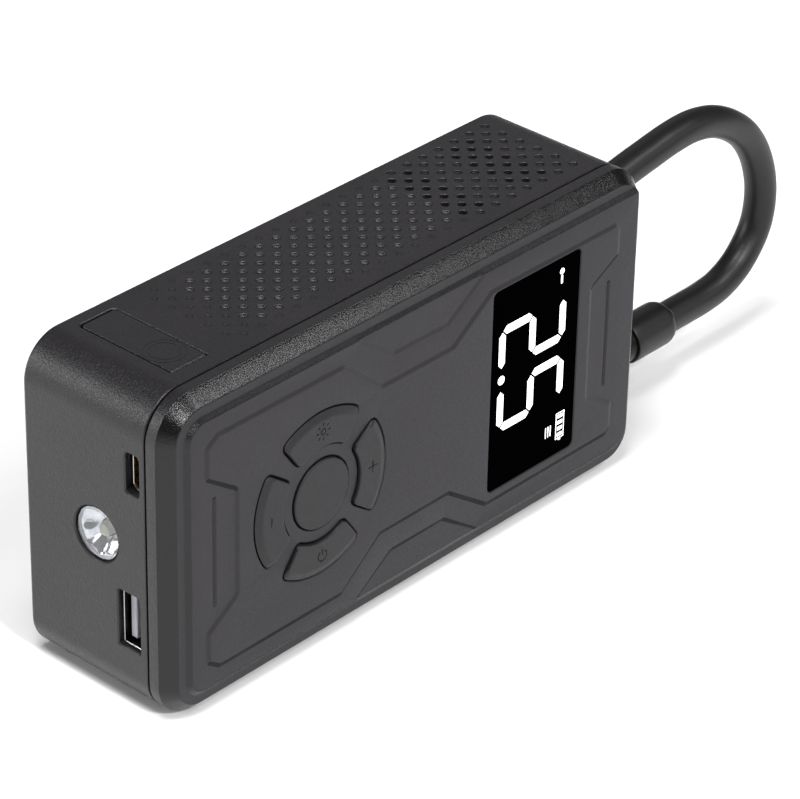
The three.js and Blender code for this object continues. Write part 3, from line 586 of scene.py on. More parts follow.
def smooth_route(route, steps):
    """Points on a centripetal Catmull-Rom curve through the route."""
    ends = [2 * route[0] - route[1], *route, 2 * route[-1] - route[-2]]
    line = []
    for a, b, c, d in zip(ends, ends[1:], ends[2:], ends[3:]):
        ab, bc, cd = (math.sqrt((q - p).length) for p, q in ((a, b), (b, c), (c, d)))
        leave = ((b - a) / ab - (c - a) / (ab + bc) + (c - b) / bc) * bc
        arrive = ((c - b) / bc - (d - b) / (bc + cd) + (d - c) / cd) * bc
        for t in np.arange(steps) / steps:
            s = 1 - t
            line.append(
                b * (1 + 2 * t) * s * s + leave * t * s * s + c * t * t * (3 - 2 * t) - arrive * t * t * s
            )
    line.append(route[-1])
    return line


def hose_tube():
    """The hose, bent between the housing and the connector, and its middle line in metres."""
    route = [Vector((x, HOSE_Y, z)) for x, z in HOSE_ROUTE]
    line = smooth_route(route, 9)
    rings = []
    for i, p in enumerate(line):
        along = (line[min(i + 1, len(line) - 1)] - line[max(i - 1, 0)]).normalized()
        side = Vector((0, 1, 0))
        up = along.cross(side)
        rings.append([tuple(p + side * u + up * v) for u, v in circle(0, 0, HOSE_R, 32)])
    hose = skin("hose", rings)
    hose.data.materials.append(HOSE)
    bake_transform(hose)
    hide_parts("air_hose")
    return hose, [CORNER + p / 1000 for p in line]


# ---------- rear shell ----------
SEAM_DEPTH = 1.0
BACK_EDGE = 1.2
PORT_GAP = 0.3
PORT_FLARE = 0.3
PORT_CUT = 4
HOLE_R = 0.95
HOLE_RIM = 0.12
HOLE_STEP = 2.56
HOLE_ROWS = 11
HOLE_COLUMNS = 21
HOLE_START = (30.3, 4.7)
# Stretches of the hole field along X: faint dimples, dimples, open holes, then flat-bottomed holes with some
# deeper ones among them.
DIMPLE_FROM_X = 36
OPEN_FROM_X, OPEN_TO_X = 99.5, 109.5
DEEP_FROM_X, DEEP_TO_X = 119.5, 129.5
CASE_SCREWS = [(7.5, 7.5), (7.5, 67.9), (128, 6.8), (139.8, 67.9)]
SCREW_HOLE_R = 2.9
SCREW_HOLE_RIM_R = 3.3
GLAND_HOLE_R = 5.4
SOCKET_R = 5.2
FLAP_GAP = 0.3
FLAP_FINGER_GAP = 0.7
# Boxes in X and Y with their heights: the thicker wall round the flap's recess, and the opening under it.
FLAP_PAD, FLAP_PAD_Z = (9.6, 24.8, 1.5, 33.5), (71.3, 74.4)
JACK, JACK_Z = (13.6, 20.7, 7.0, 28.5), (70, 75)


def shell_skin():
    """The rear shell as one hollow tray with its half of the seam's groove, before its openings."""
    front = [
        (WALL, REAR_DEPTH - WALL), (WALL, 0), (SEAM_DEPTH, 0), (SEAM_DEPTH, 0.14), (0.10, 0.14), (0.03, 0.24),
        (0, 0.45),
    ]
    back = [
        (BACK_EDGE * (1 - math.cos(a)), REAR_DEPTH - BACK_EDGE + BACK_EDGE * math.sin(a))
        for a in np.linspace(0, QUARTER, 7)
    ]
    return skin("rear_housing", [along_y(housing_outline(inset), y) for inset, y in front + back])


def port_outline(node, corner, count):
    """Outline function of the opening round a port; outline(grow) gives (y, z) points."""
    return lambda grow: node_outline(node, "yz", PORT_GAP + grow, corner + grow, count)


def torch_outline(grow):
    low, high = node_box("torch_lens")
    middle = node_centre("torch_lens")
    return circle(middle.y, middle.z, (high.z - low.z) / 2 + PORT_GAP + grow, 48)


def port_tool(outline):
    """Cuts an opening through the port end, its rim a little flared."""
    rings = [(-1, PORT_FLARE), (0, PORT_FLARE), (PORT_FLARE, 0), (PORT_CUT, 0)]
    return skin("tool", [along_x(outline(grow), x) for x, grow in rings])


def flap_tool():
    """Cuts the recess that the closed flap lies in, with room for a fingertip at its free end."""
    low, high = node_box("port_cover")
    rings = []
    for grow, z in ((0.18, 1), (0.18, 0), (0, -0.18), (0, low.z - high.z - FLAP_GAP)):
        gap = FLAP_GAP + grow
        box = (low.x - gap, high.x + gap, low.y - gap, high.y + FLAP_FINGER_GAP + grow)
        rings.append(along_z(rounded_rect(*box, (0.4, 0.4, 1.3, 1.3), 6), HEIGHT + z))
    return skin("tool", rings)


def block_tool(box, heights, radius, count):
    """A block with rounded upright edges; box is (x0, x1, y0, y1)."""
    return skin("tool", [along_z(rounded_rect(*box, [radius] * 4, count), z) for z in heights])


def hose_end_tool(z, r):
    """Cuts a round hole through the hose end, its rim a little flared."""
    rings = [(-3, 0), (-PORT_FLARE, 0), (0, PORT_FLARE), (1, PORT_FLARE)]
    return skin("tool", [along_x(circle(HOSE_Y, z, r + grow, 40), LENGTH + x) for x, grow in rings])


def screw_tool(x, z):
    """Cuts the hole that a case screw is put in through, from the back."""
    narrow, wide, flare = SCREW_HOLE_R, SCREW_HOLE_RIM_R, SCREW_HOLE_RIM_R - SCREW_HOLE_R
    rings = [(29, narrow), (REAR_DEPTH - flare, narrow), (REAR_DEPTH, wide), (REAR_DEPTH + 1, wide)]
    return skin("tool", [along_y(circle(x, z, r, 32), y) for y, r in rings])


def vent_profile(x, row):
    """(radius, depth) steps of one hole: blind dimples, flat-bottomed by the ribs, open between them."""
    r = HOLE_R
    rim = [(r + HOLE_RIM, -0.6), (r + HOLE_RIM, 0), (r, 0.1)]
    border = row in (0, HOLE_ROWS - 1)
    if OPEN_FROM_X < x < OPEN_TO_X and not border:
        return rim + [(r * 0.96, WALL), (r * 0.9, WALL + 1)]
    if DEEP_FROM_X < x < DEEP_TO_X and not border:
        return rim + [(r * 0.95, 1.1), (r * 0.6, 1.15)]
    if x > OPEN_FROM_X:
        return rim + [(r * 0.97, 0.42), (r * 0.9, 0.46), (r * 0.5, 0.47)]
    if border or x < DIMPLE_FROM_X:
        return [(r + HOLE_RIM, -0.6), (r, 0), (r * 0.8, 0.1), (r * 0.55, 0.17), (r * 0.25, 0.2)]
    return rim + [(r * 0.93, 0.35), (r * 0.78, 0.5), (r * 0.52, 0.6), (r * 0.2, 0.64)]


def vent_tools():
    """All cutters of the hole field in the top, as one mesh."""
    points, faces = [], []
    for row in range(HOLE_ROWS):
        for column in range(HOLE_COLUMNS):
            x = HOLE_START[0] + HOLE_STEP * (2 * column + (row % 2 == 0))
            y = HOLE_START[1] + HOLE_STEP * row
            stack = [along_z(circle(x, y, r, 16), HEIGHT - depth) for r, depth in vent_profile(x, row)]
            more, sides = skin_rings(stack)
            base = len(points)
            points += more
            faces += [tuple(base + i for i in side) for side in sides]
    return fix_direction(new_mesh("tool", points, faces))


def rear_shell():
    shell = shell_skin()
    outlines = (port_outline("usb_a_shell", 0.5, 5), port_outline("usb_c_shell", 1.0, 7), torch_outline)
    for outline in outlines:
        carve(shell, port_tool(outline))
    carve(shell, block_tool(FLAP_PAD, FLAP_PAD_Z, 1, 4), "UNION")
    carve(shell, flap_tool())
    carve(shell, block_tool(JACK, JACK_Z, 1.3, 5))
    carve(shell, vent_tools())
    carve(shell, hose_end_tool(node_centre("hose_gland").z, GLAND_HOLE_R))
    carve(shell, hose_end_tool(CHUCK_Z, SOCKET_R))
    for x, z in CASE_SCREWS:
        carve(shell, screw_tool(x, z))
    finish_piece(shell, SHELL, "housing", "shell_plastic", "rear_shell")
    soften(shell)


def inner_walls():
    """The storage socket for the chuck and the bosses that the case screws go down."""
    inner, outer = SOCKET_R, SOCKET_R + 2
    start, floor, end = 137, 138.5, 146.2
    cup = [(0, floor), (inner, floor), (inner, end), (outer, end), (outer, start), (0, start)]
    socket = turned("chuck_socket", cup, (0, HOSE_Y, CHUCK_Z), "X", 40)
    soften(finish_piece(socket, SHELL, "housing", "shell_plastic"))
    bosses = [tube("boss", (SCREW_HOLE_R, 3.8), (33.4, 6.4), (x, 0, z), "Y") for x, z in CASE_SCREWS]
    soften(finish_piece(joined("screw_bosses", bosses), SHELL, "housing", "shell_plastic"))


# ---------- front cover ----------
SEAM_GAP = -node_box("front_cover")[1].y
ROOF_Y = -4.9
ROOF_INSET = 3.2
CHAMFER_INSET = 2.7
PANEL_FOOT, PANEL_FOOT_RIGHT = 4.7, 2.7
PANEL_CORNERS = (4.6, 5.2, 1.6, 5.2)
PANEL_INSET, PANEL_RISE = 1.2, 0.8
# The cover's finishes: on the chamfers, on the ledge and panel, on the sides and inside, and painted shade on
# slopes in the panel that face down: a duller copy of the cover plastic that reads darker there.
COARSE, FINE, PLAIN, DOWN_SHADE = range(4)
RELIEF_Z = 37.7
RELIEF_HALF = [
    (129.2, 13.9), (138.1, 18.6), (138.1, 25.6), (136.6, 27.1), (95.4, 27.1), (83.2, 18.5), (61.6, 18.5),
    (49.8, 28.2), (13.4, 28.2), (9.8, 25.9), (9.8, 18.2), (18.2, 12.5),
]
RELIEF = (
    [(x, RELIEF_Z + dz) for x, dz in RELIEF_HALF] + [(x, RELIEF_Z - dz) for x, dz in reversed(RELIEF_HALF)]
)
RELIEF_ROUND = 1.6
NOTCH_ROUND, NOTCH_STEPS = 1.4, 5
NOTCH_HALF = [(54.2, 34.0), (54.6, 31.2), (65.2, 23.9), (82, 23.8), (93, 31.2), (93.4, 34.0)]
GROOVES = [((12.3, 25.5), (12.3, 50.6)), ((134.9, 24.8), (134.9, 50.4))]
GROOVE_DEPTH = 0.42
KEY_GAP = 0.26
WINDOW_GAP = 0.2


def panel_outline(inset):
    """Outline of the raised panel's foot, moved inwards."""
    foot, right = PANEL_FOOT + inset, PANEL_FOOT_RIGHT + inset
    return rounded_rect(foot, LENGTH - right, foot, HEIGHT - foot, [r - inset for r in PANEL_CORNERS], 11)


def notch_outline(side):
    """The shallow notch in the middle of the panel's upper (1) or lower (-1) edge."""
    corners = [(x, RELIEF_Z + side * dz) for x, dz in NOTCH_HALF]
    return round_polygon(corners[::side], NOTCH_ROUND, NOTCH_STEPS)


def capsule(a, b, r, count=7):
    """Outline round an upright line from a to b."""
    return arc(b[0], b[1], r, 0, math.pi, count) + arc(a[0], a[1], r, math.pi, TAU, count)


def relief_loop(distance):
    return round_polygon(offset_polygon(RELIEF, distance), RELIEF_ROUND, 6)


def cover_holes(grow=0.0):
    """Outlines of the cover's openings for the window and the keys, moved outwards."""
    window = node_outline("display_window", "xz", WINDOW_GAP + grow, 1.4 + grow, 7)
    return [window] + [outline(KEY_GAP + grow, 0) for _, outline, _ in KEYS]


def cover_height(points):
    """How far the cover stands out from the seam at each (x, z)."""
    from_edge = inside_distance(points, housing_outline(0, 24))
    depth = softened(from_edge, (0, 0.12, CHAMFER_INSET), (2.9, 3.33, 6.2), 0.2)
    panel = softened(inside_distance(points, panel_outline(0)), (0, PANEL_INSET), (0, PANEL_RISE), 0.22)
    depth += panel
    depth += softened(inside_distance(points, relief_loop(0)), (0, 0.95), (0, 0.35), 0.25)
    for side in (1, -1):
        notch = softened(inside_distance(points, notch_outline(side)), (0, 0.8), (0, 0.24), 0.25)
        depth -= notch * panel / PANEL_RISE
    for (x, low), (_, high) in GROOVES:
        across = points[:, 0] - x
        past = points[:, 1] - np.clip(points[:, 1], low, high)
        far = np.hypot(across, past)
        depth -= GROOVE_DEPTH * (1 - np.clip((far - 0.1) / 0.7, 0, 1)) ** 2
    for hole in cover_holes():
        reach = np.clip(-inside_distance(points, hole) / 0.3, 0, 1)
        depth -= 0.2 * (1 - reach) ** 2
    return depth


def cover_contours():
    """Outlines along which the cover's surface bends, at their distances inwards."""
    loops = [housing_outline(d) for d in (0.06, 0.14, 0.3, 2.5, 2.62, 2.72, 2.82, 2.92)]
    loops += [panel_outline(d) for d in (-0.2, -0.08, 0.04, 0.16, 0.26, 0.96, 1.08, 1.2, 1.3, 1.42)]
    loops += [relief_loop(d) for d in (-0.25, -0.12, 0, 0.12, 0.25, 0.47, 0.7, 0.82, 0.95, 1.08, 1.2)]
    for side in (1, -1):
        middle_of_each_corner = notch_outline(side)[NOTCH_STEPS // 2::NOTCH_STEPS]
        for d in (-0.2, 0, 0.2, 0.6, 0.8, 1.0):
            loops.append(round_polygon(offset_polygon(middle_of_each_corner, d), NOTCH_ROUND, NOTCH_STEPS))
    for a, b in GROOVES:
        loops += [capsule(a, b, r) for r in (0.1, 0.22, 0.38, 0.56, 0.74, 0.85)]
    for grow in (0.1, 0.2, 0.3):
        loops += cover_holes(grow)
    return loops


def cover_finishes(top, faces, slopes):
    """Which finish each face of the cover's front has."""
    centres = np.array([top[list(f), :2].mean(0) for f in faces])
    in_panel = inside_distance(centres, panel_outline(0))
    ledge = (inside_distance(centres, housing_outline(CHAMFER_INSET)) > 0) & (in_panel < 0)
    flat = in_panel > PANEL_INSET
    # Slopes in the panel that face down get the painted shade finish.
    faces_down = np.array([slopes[list(f), 1].mean() for f in faces]) > 0.12
    return np.select([ledge, flat & faces_down, flat], [FINE, DOWN_SHADE, FINE], COARSE).tolist()


def front_cover():
    top, faces, borders, slopes = relief_sheet(
        housing_outline(0), cover_holes(), cover_contours(), cover_height,
    )
    points = [(x, -depth, z) for x, z, depth in top]
    tags = cover_finishes(top, faces, slopes)

    def add_ring(ring):
        start = len(points)
        points.extend(ring)
        return list(range(start, start + len(ring)))

    def bridge(first, second, flip=False):
        for i in range(len(first)):
            j = (i + 1) % len(first)
            quad = (first[i], first[j], second[j], second[i])
            faces.append(quad[::-1] if flip else quad)
            tags.append(PLAIN)

    edge = [
        (0, -0.62), (0.03, -0.45), (0.10, -0.36), (SEAM_DEPTH, -0.36), (SEAM_DEPTH, -SEAM_GAP),
        (ROOF_INSET, -SEAM_GAP),
    ]
    ring = borders[0]
    for inset, y in edge:
        following = add_ring(along_y(housing_outline(inset), y))
        bridge(ring, following, flip=True)
        ring = following
    roof, roof_faces, roof_borders, _ = relief_sheet(
        housing_outline(ROOF_INSET), cover_holes(), [], lambda p: np.full(len(p), -ROOF_Y),
    )
    base = len(points)
    points.extend((x, -depth, z) for x, z, depth in roof)
    faces.extend(tuple(base + i for i in reversed(f)) for f in roof_faces)
    tags.extend([PLAIN] * len(roof_faces))
    bridge(ring, [base + i for i in roof_borders[0]], flip=True)
    for above, below in zip(borders[1:], roof_borders[1:]):
        bridge(above, [base + i for i in below])
    cover = new_mesh("front_panel", points, faces)
    cover.data.polygons.foreach_set("material_index", tags)
    for material in (COVER_COARSE, COVER_FINE, SHELL, COVER_DOWN_SHADE):
        cover.data.materials.append(material)
    shade_sheet(cover, len(top), slopes)
    finish_piece(cover, None, "housing", "cover_plastic", "front_cover")


def shade_sheet(piece, count, slopes):
    """Set the normals of the first count vertices from the surface's own slopes."""
    mesh = piece.data
    mesh.set_sharp_from_angle(angle=math.radians(30))
    normals = np.column_stack([-slopes[:, 0], -np.ones(count), -slopes[:, 1]])
    normals /= np.linalg.norm(normals, axis=1)[:, None]
    corners = [c.vector.copy() for c in mesh.corner_normals]
    for polygon in mesh.polygons:
        if max(polygon.vertices) < count:
            for loop in polygon.loop_indices:
                corners[loop] = Vector(normals[mesh.loops[loop].vertex_index])
    mesh.normals_split_custom_set(corners)


# ---------- keys ----------
KEY_CENTRE = (43.0, 38.2)
CENTRE_KEY_R = 8.1
RING_IN, RING_OUT = 11.4, 19.4
RING_HALF_ANGLE = math.radians(36)
KEY_CORNER = 1.3
KEY_FOOT = -4.6
RING_KEY_TOP = -8.0
CENTRE_KEY_TOP = -7.75
SIGN_R = 15.1
SIGN_LINE = 0.34
MARK_THICK = 0.03
MARK_SUNK = 0.2


def centre_outline(grow, _):
    return circle(*KEY_CENTRE, CENTRE_KEY_R + grow, 64)


def ring_outline(middle):
    """Outline function of one key of the ring, about the angle middle.

    outline(grow, trim) moves every side outwards by grow and the outer arc inwards by trim.
    """
    def outline(grow, trim):
        inner, outer = RING_IN + KEY_CORNER, RING_OUT - KEY_CORNER - trim
        reach = KEY_CORNER + grow
        at_outer = RING_HALF_ANGLE - math.asin(KEY_CORNER / outer)
        at_inner = RING_HALF_ANGLE - math.asin(KEY_CORNER / inner)
        u, v = KEY_CENTRE

        def corner(radius, angle, start, end):
            x, z = u + radius * math.cos(middle + angle), v + radius * math.sin(middle + angle)
            return arc(x, z, reach, middle + start, middle + end, 8)

        return (
            arc(u, v, outer + reach, middle - at_outer, middle + at_outer, 22)
            + corner(outer, at_outer, at_outer, RING_HALF_ANGLE + QUARTER)
            + corner(inner, at_inner, RING_HALF_ANGLE + QUARTER, at_inner + math.pi)
            + arc(u, v, inner - reach, middle + at_inner, middle - at_inner, 16)
            + corner(inner, -at_inner, math.pi - at_inner, 3 * QUARTER - RING_HALF_ANGLE)
            + corner(outer, -at_outer, -QUARTER - RING_HALF_ANGLE, -at_outer)
        )
    return outline


KEYS = [
    ("mode", centre_outline, CENTRE_KEY_TOP),
    ("plus", ring_outline(0), RING_KEY_TOP),
    ("light", ring_outline(QUARTER), RING_KEY_TOP),
    ("minus", ring_outline(2 * QUARTER), RING_KEY_TOP),
    ("power", ring_outline(3 * QUARTER), RING_KEY_TOP),
]


def key_steps(name, top):
    """(grow, trim, y) of the rings of a key, from its foot behind the cover to its rounded or sloping top."""
    if name == "mode":
        edge = [(-0.08, 0, top + 0.14), (-0.25, 0, top + 0.04), (-0.5, 0, top)]
        return [(0, 0, KEY_FOOT), (0, 0, top + 0.3), *edge]
    return [
        (0, 0, KEY_FOOT), (0, 0, -7.3), (-0.02, 0.1, -7.42), (-0.08, 1.1, top + 0.18),
        (-0.15, 1.3, top + 0.07), (-0.3, 1.45, top + 0.01), (-0.5, 1.6, top),
    ]


def key_caps():
    for name, outline, top in KEYS:
        rings = [along_y(outline(grow, trim), y) for grow, trim, y in key_steps(name, top)]
        cap = finish_piece(skin(f"key_{name}", rings), KEY, f"key_{name}", "key_rubber", f"button_{name}")
        soften(cap, 40)


def plate(outline, y):
    """A thin printed or lit shape that stands a little proud of the plane y; outline is (x, z)."""
    return skin("plate", [along_y(outline, y + MARK_SUNK), along_y(outline, y - MARK_THICK)])


def bar_outline(u, v, length, width, angle=0.0):
    """A bar with round ends, centred on (u, v)."""
    half = (length - width) / 2
    points = arc(half, 0, width / 2, -QUARTER, QUARTER, 6)
    points += arc(-half, 0, width / 2, QUARTER, 3 * QUARTER, 6)
    c, s = math.cos(angle), math.sin(angle)
    return [(u + c * x - s * z, v + s * x + c * z) for x, z in points]


def bar(u, v, length, width, angle, y):
    return plate(bar_outline(u, v, length, width, angle), y)


def sun_sign(u, v, y):
    rays, ray_r = 8, 1.75
    sun = [tube("plate", (0.45, 0.85), (y + MARK_SUNK, y - MARK_THICK), (u, 0, v), "Y", 28)]
    for i in range(rays):
        a = i * TAU / rays
        sun.append(bar(u + ray_r * math.cos(a), v + ray_r * math.sin(a), 0.75, 0.4, a, y))
    return sun


def standby_sign(u, v, y):
    inner, outer, gap = 1.1, 1.1 + SIGN_LINE, 0.6
    start, end = QUARTER + gap, QUARTER + TAU - gap
    broken_ring = arc(u, v, outer, start, end, 20) + arc(u, v, inner, end, start, 20)
    return [plate(broken_ring, y), bar(u, v + 0.95, 1.5, SIGN_LINE, QUARTER, y)]


def key_signs():
    """Sun, plus, minus and standby signs on the keys of the ring."""
    u, v = KEY_CENTRE
    y, r = RING_KEY_TOP, SIGN_R
    signs = {
        "light": sun_sign(u, v + r, y),
        "plus": [bar(u + r, v, 2.9, SIGN_LINE, angle, y) for angle in (0, QUARTER)],
        "minus": [bar(u - r, v, 2.3, SIGN_LINE, QUARTER, y)],
        "power": standby_sign(u, v - r, y),
    }
    for name, pieces in signs.items():
        finish_piece(joined(f"sign_{name}", pieces), SIGN, f"key_{name}", "key_rubber")


# ---------- display ----------
DIGIT_BASE_X = 98.2
DIGIT_TALL = 22.0
DIGIT_WIDE = 11.5
DIGIT_LINE = 2.05
DIGIT_GAP = 0.3
# The z of each digit's left edge, and the segments that are lit.
DIGITS = [(54.1, "abged"), (39.35, "afgcd")]
# The point between the digits, as x, z and radius.
POINT = (99.3, 40.95, 1.1)


def display_window():
    low, high = node_box("display_window")
    steps = [(0, high.y), (0, low.y + 0.15), (0.04, low.y + 0.05), (0.15, low.y)]
    rings = [along_y(node_outline("display_window", "xz", -i, 1.2 - i, 7), y) for i, y in steps]
    window = skin("window", rings)
    finish_piece(window, SMOKED, "housing", "window_acrylic", "display_window")
    soften(window)


def segment_outlines():
    """The seven segments of a digit as (across, up) outlines, keyed by their usual letters."""
    w, h = DIGIT_WIDE, DIGIT_TALL
    half, middle = DIGIT_LINE / 2, h / 2

    def flat(level, start, end, side=half):
        start, end = start + DIGIT_GAP, end - DIGIT_GAP
        return [
            (start, level), (start + half, level - side), (end - half, level - side),
            (end, level), (end - half, level + side), (start + half, level + side),
        ]

    def upright(across, low, high):
        return [(u, v) for v, u in flat(across, low, high, -half)]

    return {
        "a": flat(h - half, half, w - half), "g": flat(middle, half, w - half),
        "d": flat(half, half, w - half),
        "f": upright(half, middle, h - half), "b": upright(w - half, middle, h - half),
        "e": upright(half, half, middle), "c": upright(w - half, half, middle),
    }


def lit_display():
    """Two digits with a point between them, a charge gauge and two small generic marks."""
    y = node_box("display_window")[0].y
    shapes = segment_outlines()
    pieces = []
    for left_z, letters in DIGITS:
        for letter in letters:
            outline = [(DIGIT_BASE_X + up, left_z - across) for across, up in shapes[letter]]
            pieces.append(plate(outline, y))
    pieces.append(plate(circle(*POINT, 24), y))
    pieces += charge_gauge(y)
    pieces += [bar(115.1 + 0.8 * i, 20.6, 2.8, 0.3, QUARTER, y) for i in range(3)]
    pieces += [plate(circle(118.4, 60.2, 0.75, 20), y), bar(118.4, 58.2, 2.2, 0.6, QUARTER, y)]
    finish_piece(joined("display_marks", pieces), LIT, "housing", "white_plastic")


def charge_gauge(y):
    """A battery outline with four bars in it."""
    x0, x1, z0, z1, line = 118.5, 121.3, 17.4, 24.1, 0.22
    boxes = [
        (x0, x1, z0, z0 + line), (x0, x1, z1 - line, z1), (x0, x0 + line, z0, z1), (x1 - line, x1, z0, z1),
        (x0 + 1, x1 - 1, z0 - 0.5, z0 - 0.1),
    ]
    pitch = (z1 - z0 - 2 * line) / 4
    for i in range(4):
        boxes.append((x0 + 0.55, x1 - 0.55, z0 + line + pitch * (i + 0.22), z0 + line + pitch * (i + 0.8)))
    return [plate([(a, c), (b, c), (b, d), (a, d)], y) for a, b, c, d in boxes]


# ---------- ports and torch ----------
ROLLED_EDGE = 0.08
CONTACT_RISE = 0.06
PETALS = 8
RIPPLE = 0.6
BOWL_R, BOWL_RIM_R, BOWL_LIP_R, BOWL_HOLE_R = 6.0, 5.5, 5.45, 1.9
BOWL_DEPTH = 2.0
BOWL_COUNT = 96


def shell_of_port(name, node, corner, wall):
    """A folded metal port shell with a rolled front edge, open at the front."""
    low, high = node_box(node)
    roll = ROLLED_EDGE
    steps = [
        (0, high.x), (0, low.x + roll), (roll, low.x), (wall - roll, low.x), (wall, low.x + roll),
        (wall, high.x - 1),
    ]
    rings = [along_x(node_outline(node, "yz", -i, max(corner - i, roll), 8), x) for i, x in steps]
    shell = skin(name, rings)
    return soften(finish_piece(shell, STEEL, "housing", "steel", node))


def blade(name, node, material, slot):
    """The tongue in a port, its front edge chamfered."""
    low, high = node_box(node)
    steps = [(0.15, low.x), (0, low.x + 0.15), (0, high.x)]
    rings = [along_x(node_outline(node, "yz", -inset, 0.12, 4), x) for inset, x in steps]
    soften(finish_piece(skin(name, rings), material, "housing", slot, node))


def contacts(node, sides, count, pitch, wide, start):
    """A row of gold strips along X on one or both sides of a tongue."""
    low, high = node_box(node)
    middle = (low.z + high.z) / 2
    strips = []
    for k in range(count):
        z = middle + (k - (count - 1) / 2) * pitch
        outline = rounded_rect(low.x + start, high.x - 1, z - wide / 2, z + wide / 2, [0.2] * 4, 3)
        for y in (low.y, high.y)[:sides]:
            rings = [along_y(outline, y - CONTACT_RISE), along_y(outline, y + CONTACT_RISE)]
            strips.append(skin("contact", rings))
    finish_piece(joined(f"{node}_contacts", strips), GOLD, "housing", "gold")


def line_port(piece, node, material):
    """Give the inside walls of a port's shell, behind its rolled edge, their own material, which can paint
    the shade inside the port.
    """
    low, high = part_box(node)
    middle = (low + high) / 2
    piece.data.materials.append(material)
    for polygon in piece.data.polygons:
        if polygon.center.x > low.x + 0.00015 and polygon.normal.dot(middle - polygon.center) > 0:
            polygon.material_index = 1


def usb_ports():
    # The USB-A shell is lined with darkened nickel as painted shade; the USB-C shell is lined with gold.
    line_port(shell_of_port("usb_a_metal", "usb_a_shell", 0.5, 0.4), "usb_a_shell", NICKEL_IN_SHADE)
    line_port(shell_of_port("usb_c_metal", "usb_c_shell", 1.62, 0.3), "usb_c_shell", GOLD)
    blade("usb_a_blade", "usb_a_tongue", TONGUE, "white_plastic")
    contacts("usb_a_tongue", sides=1, count=4, pitch=2.5, wide=1.1, start=2.6)
    blade("usb_c_blade", "usb_c_tongue", GOLD, "gold")
    contacts("usb_c_tongue", sides=2, count=12, pitch=0.5, wide=0.28, start=0.45)


def petal_bowl():
    """The torch's reflector: a shallow bowl of petals behind a flat rim."""
    low, high = node_box("torch_reflector")
    centre = node_centre("torch_reflector")

    def ring(radius, x, ripple=0.0):
        points = []
        for k in range(BOWL_COUNT):
            a = k * TAU / BOWL_COUNT
            wave = ripple * abs(math.sin(a * PETALS / 2))
            points.append((x - wave, centre.y + radius * math.cos(a), centre.z + radius * math.sin(a)))
        return points

    rings = [ring(BOWL_R, low.x), ring(BOWL_R, high.x), ring(BOWL_HOLE_R, high.x)]
    for t in np.linspace(0, 1, 9):
        radius = BOWL_HOLE_R + (BOWL_LIP_R - BOWL_HOLE_R) * t ** 0.6
        ripple = RIPPLE * math.sin(math.pi * t) ** 0.7
        rings.append(ring(radius, low.x + BOWL_DEPTH * (1 - t), ripple))
    rings.append(ring(BOWL_RIM_R, low.x))
    bowl = closed_ring("torch_bowl", rings)
    soften(finish_piece(bowl, CHROME, "housing", "reflector", "torch_reflector"), 28)


def torch():
    low, high = node_box("torch_lens")
    centre = node_centre("torch_lens")
    spot = (0, centre.y, centre.z)
    r = (high.z - low.z) / 2
    front, back = low.x, high.x
    lens = [
        (0, back), (r - 0.12, back), (r, back - 0.12), (r, front + 0.45), (r - 0.1, front + 0.25),
        (r - 0.35, front + 0.16), (r * 0.7, front + 0.06), (r * 0.35, front + 0.01), (0, front),
    ]
    soften(finish_piece(turned("lens", lens, spot, "X", 64), LENS, "housing", "clear_lens", "torch_lens"))
    gasket = tube("torch_gasket", (r - 0.55, r - 0.02), (back + 0.05, back + 0.25), spot, "X", 64)
    soften(finish_piece(gasket, FROST, "housing", "clear_lens"))
    petal_bowl()
    x = node_box("torch_led")[0].x
    dome = [
        (0, x + 2.5), (1.5, x + 2.5), (1.5, x + 0.5), (1.35, x + 0.2), (1.0, x + 0.02), (0.5, x - 0.03),
        (0, x - 0.04),
    ]
    emitter = turned("torch_emitter", dome, spot, "X", 40)
    soften(finish_piece(emitter, PHOSPHOR, "housing", "white_plastic", "torch_led"))


# ---------- flap over the jump socket ----------
FLAP_EDGE = 0.16
FLAP_CORNER = 1.0
EMBOSS_Y = 11.4
EMBOSS_RADII = (4.35, 3.15)
EMBOSS_WIDE, EMBOSS_RISE = 0.28, 0.05


def flap():
    """The flap, rounded like a barrel along its hinge, with two embossed rings on it."""
    low, high = node_box("port_cover")
    r = (high.z - low.z) / 2
    rings = []
    for a in np.arange(13) * math.pi / 12:
        z = low.z + r - r * math.cos(a)
        hinge = r * (1 - math.sin(a))
        above = max(0, z - (high.z - FLAP_EDGE))
        inset = FLAP_EDGE - math.sqrt(max(FLAP_EDGE ** 2 - above ** 2, 0))
        box = (low.x + inset, high.x - inset, low.y + hinge, high.y - inset)
        corner = FLAP_CORNER - inset
        rings.append(along_z(rounded_rect(*box, (0.05, 0.05, corner, corner), 7), z))
    soften(finish_piece(skin("flap", rings), SHELL, "flap", "shell_plastic", "port_cover"))
    middle = ((low.x + high.x) / 2, EMBOSS_Y, 0)
    ends = (high.z - 0.2, high.z + EMBOSS_RISE)
    rings = [tube("emboss", (r, r + EMBOSS_WIDE), ends, middle, "Z", 64) for r in EMBOSS_RADII]
    soften(finish_piece(joined("flap_ring", rings), SHELL, "flap", "shell_plastic"))


# ---------- hose fittings ----------
CHUCK_BORE_R = 3.85
CHUCK_BORE_DEEP = 11


def gland():
    """The fitting in the hose end that the hose comes out of."""
    low, high = node_box("hose_gland")
    back = low.x
    profile = [
        (0, back), (2, back), (2, 143.5), (6.3, 143.5), (6.3, 145.5), (5.1, 145.5), (5.1, 148.3),
        (6.25, 148.3), (6.4, 148.45), (6.4, 149.4), (6.2, 149.9), (5.6, 150.3), (4.6, 150.5), (0, 150.5),
    ]
    piece = turned("gland", profile, (0, HOSE_Y, (low.z + high.z) / 2), "X", 56)
    soften(finish_piece(piece, HOSE, "housing", "hose_rubber", "hose_gland"))


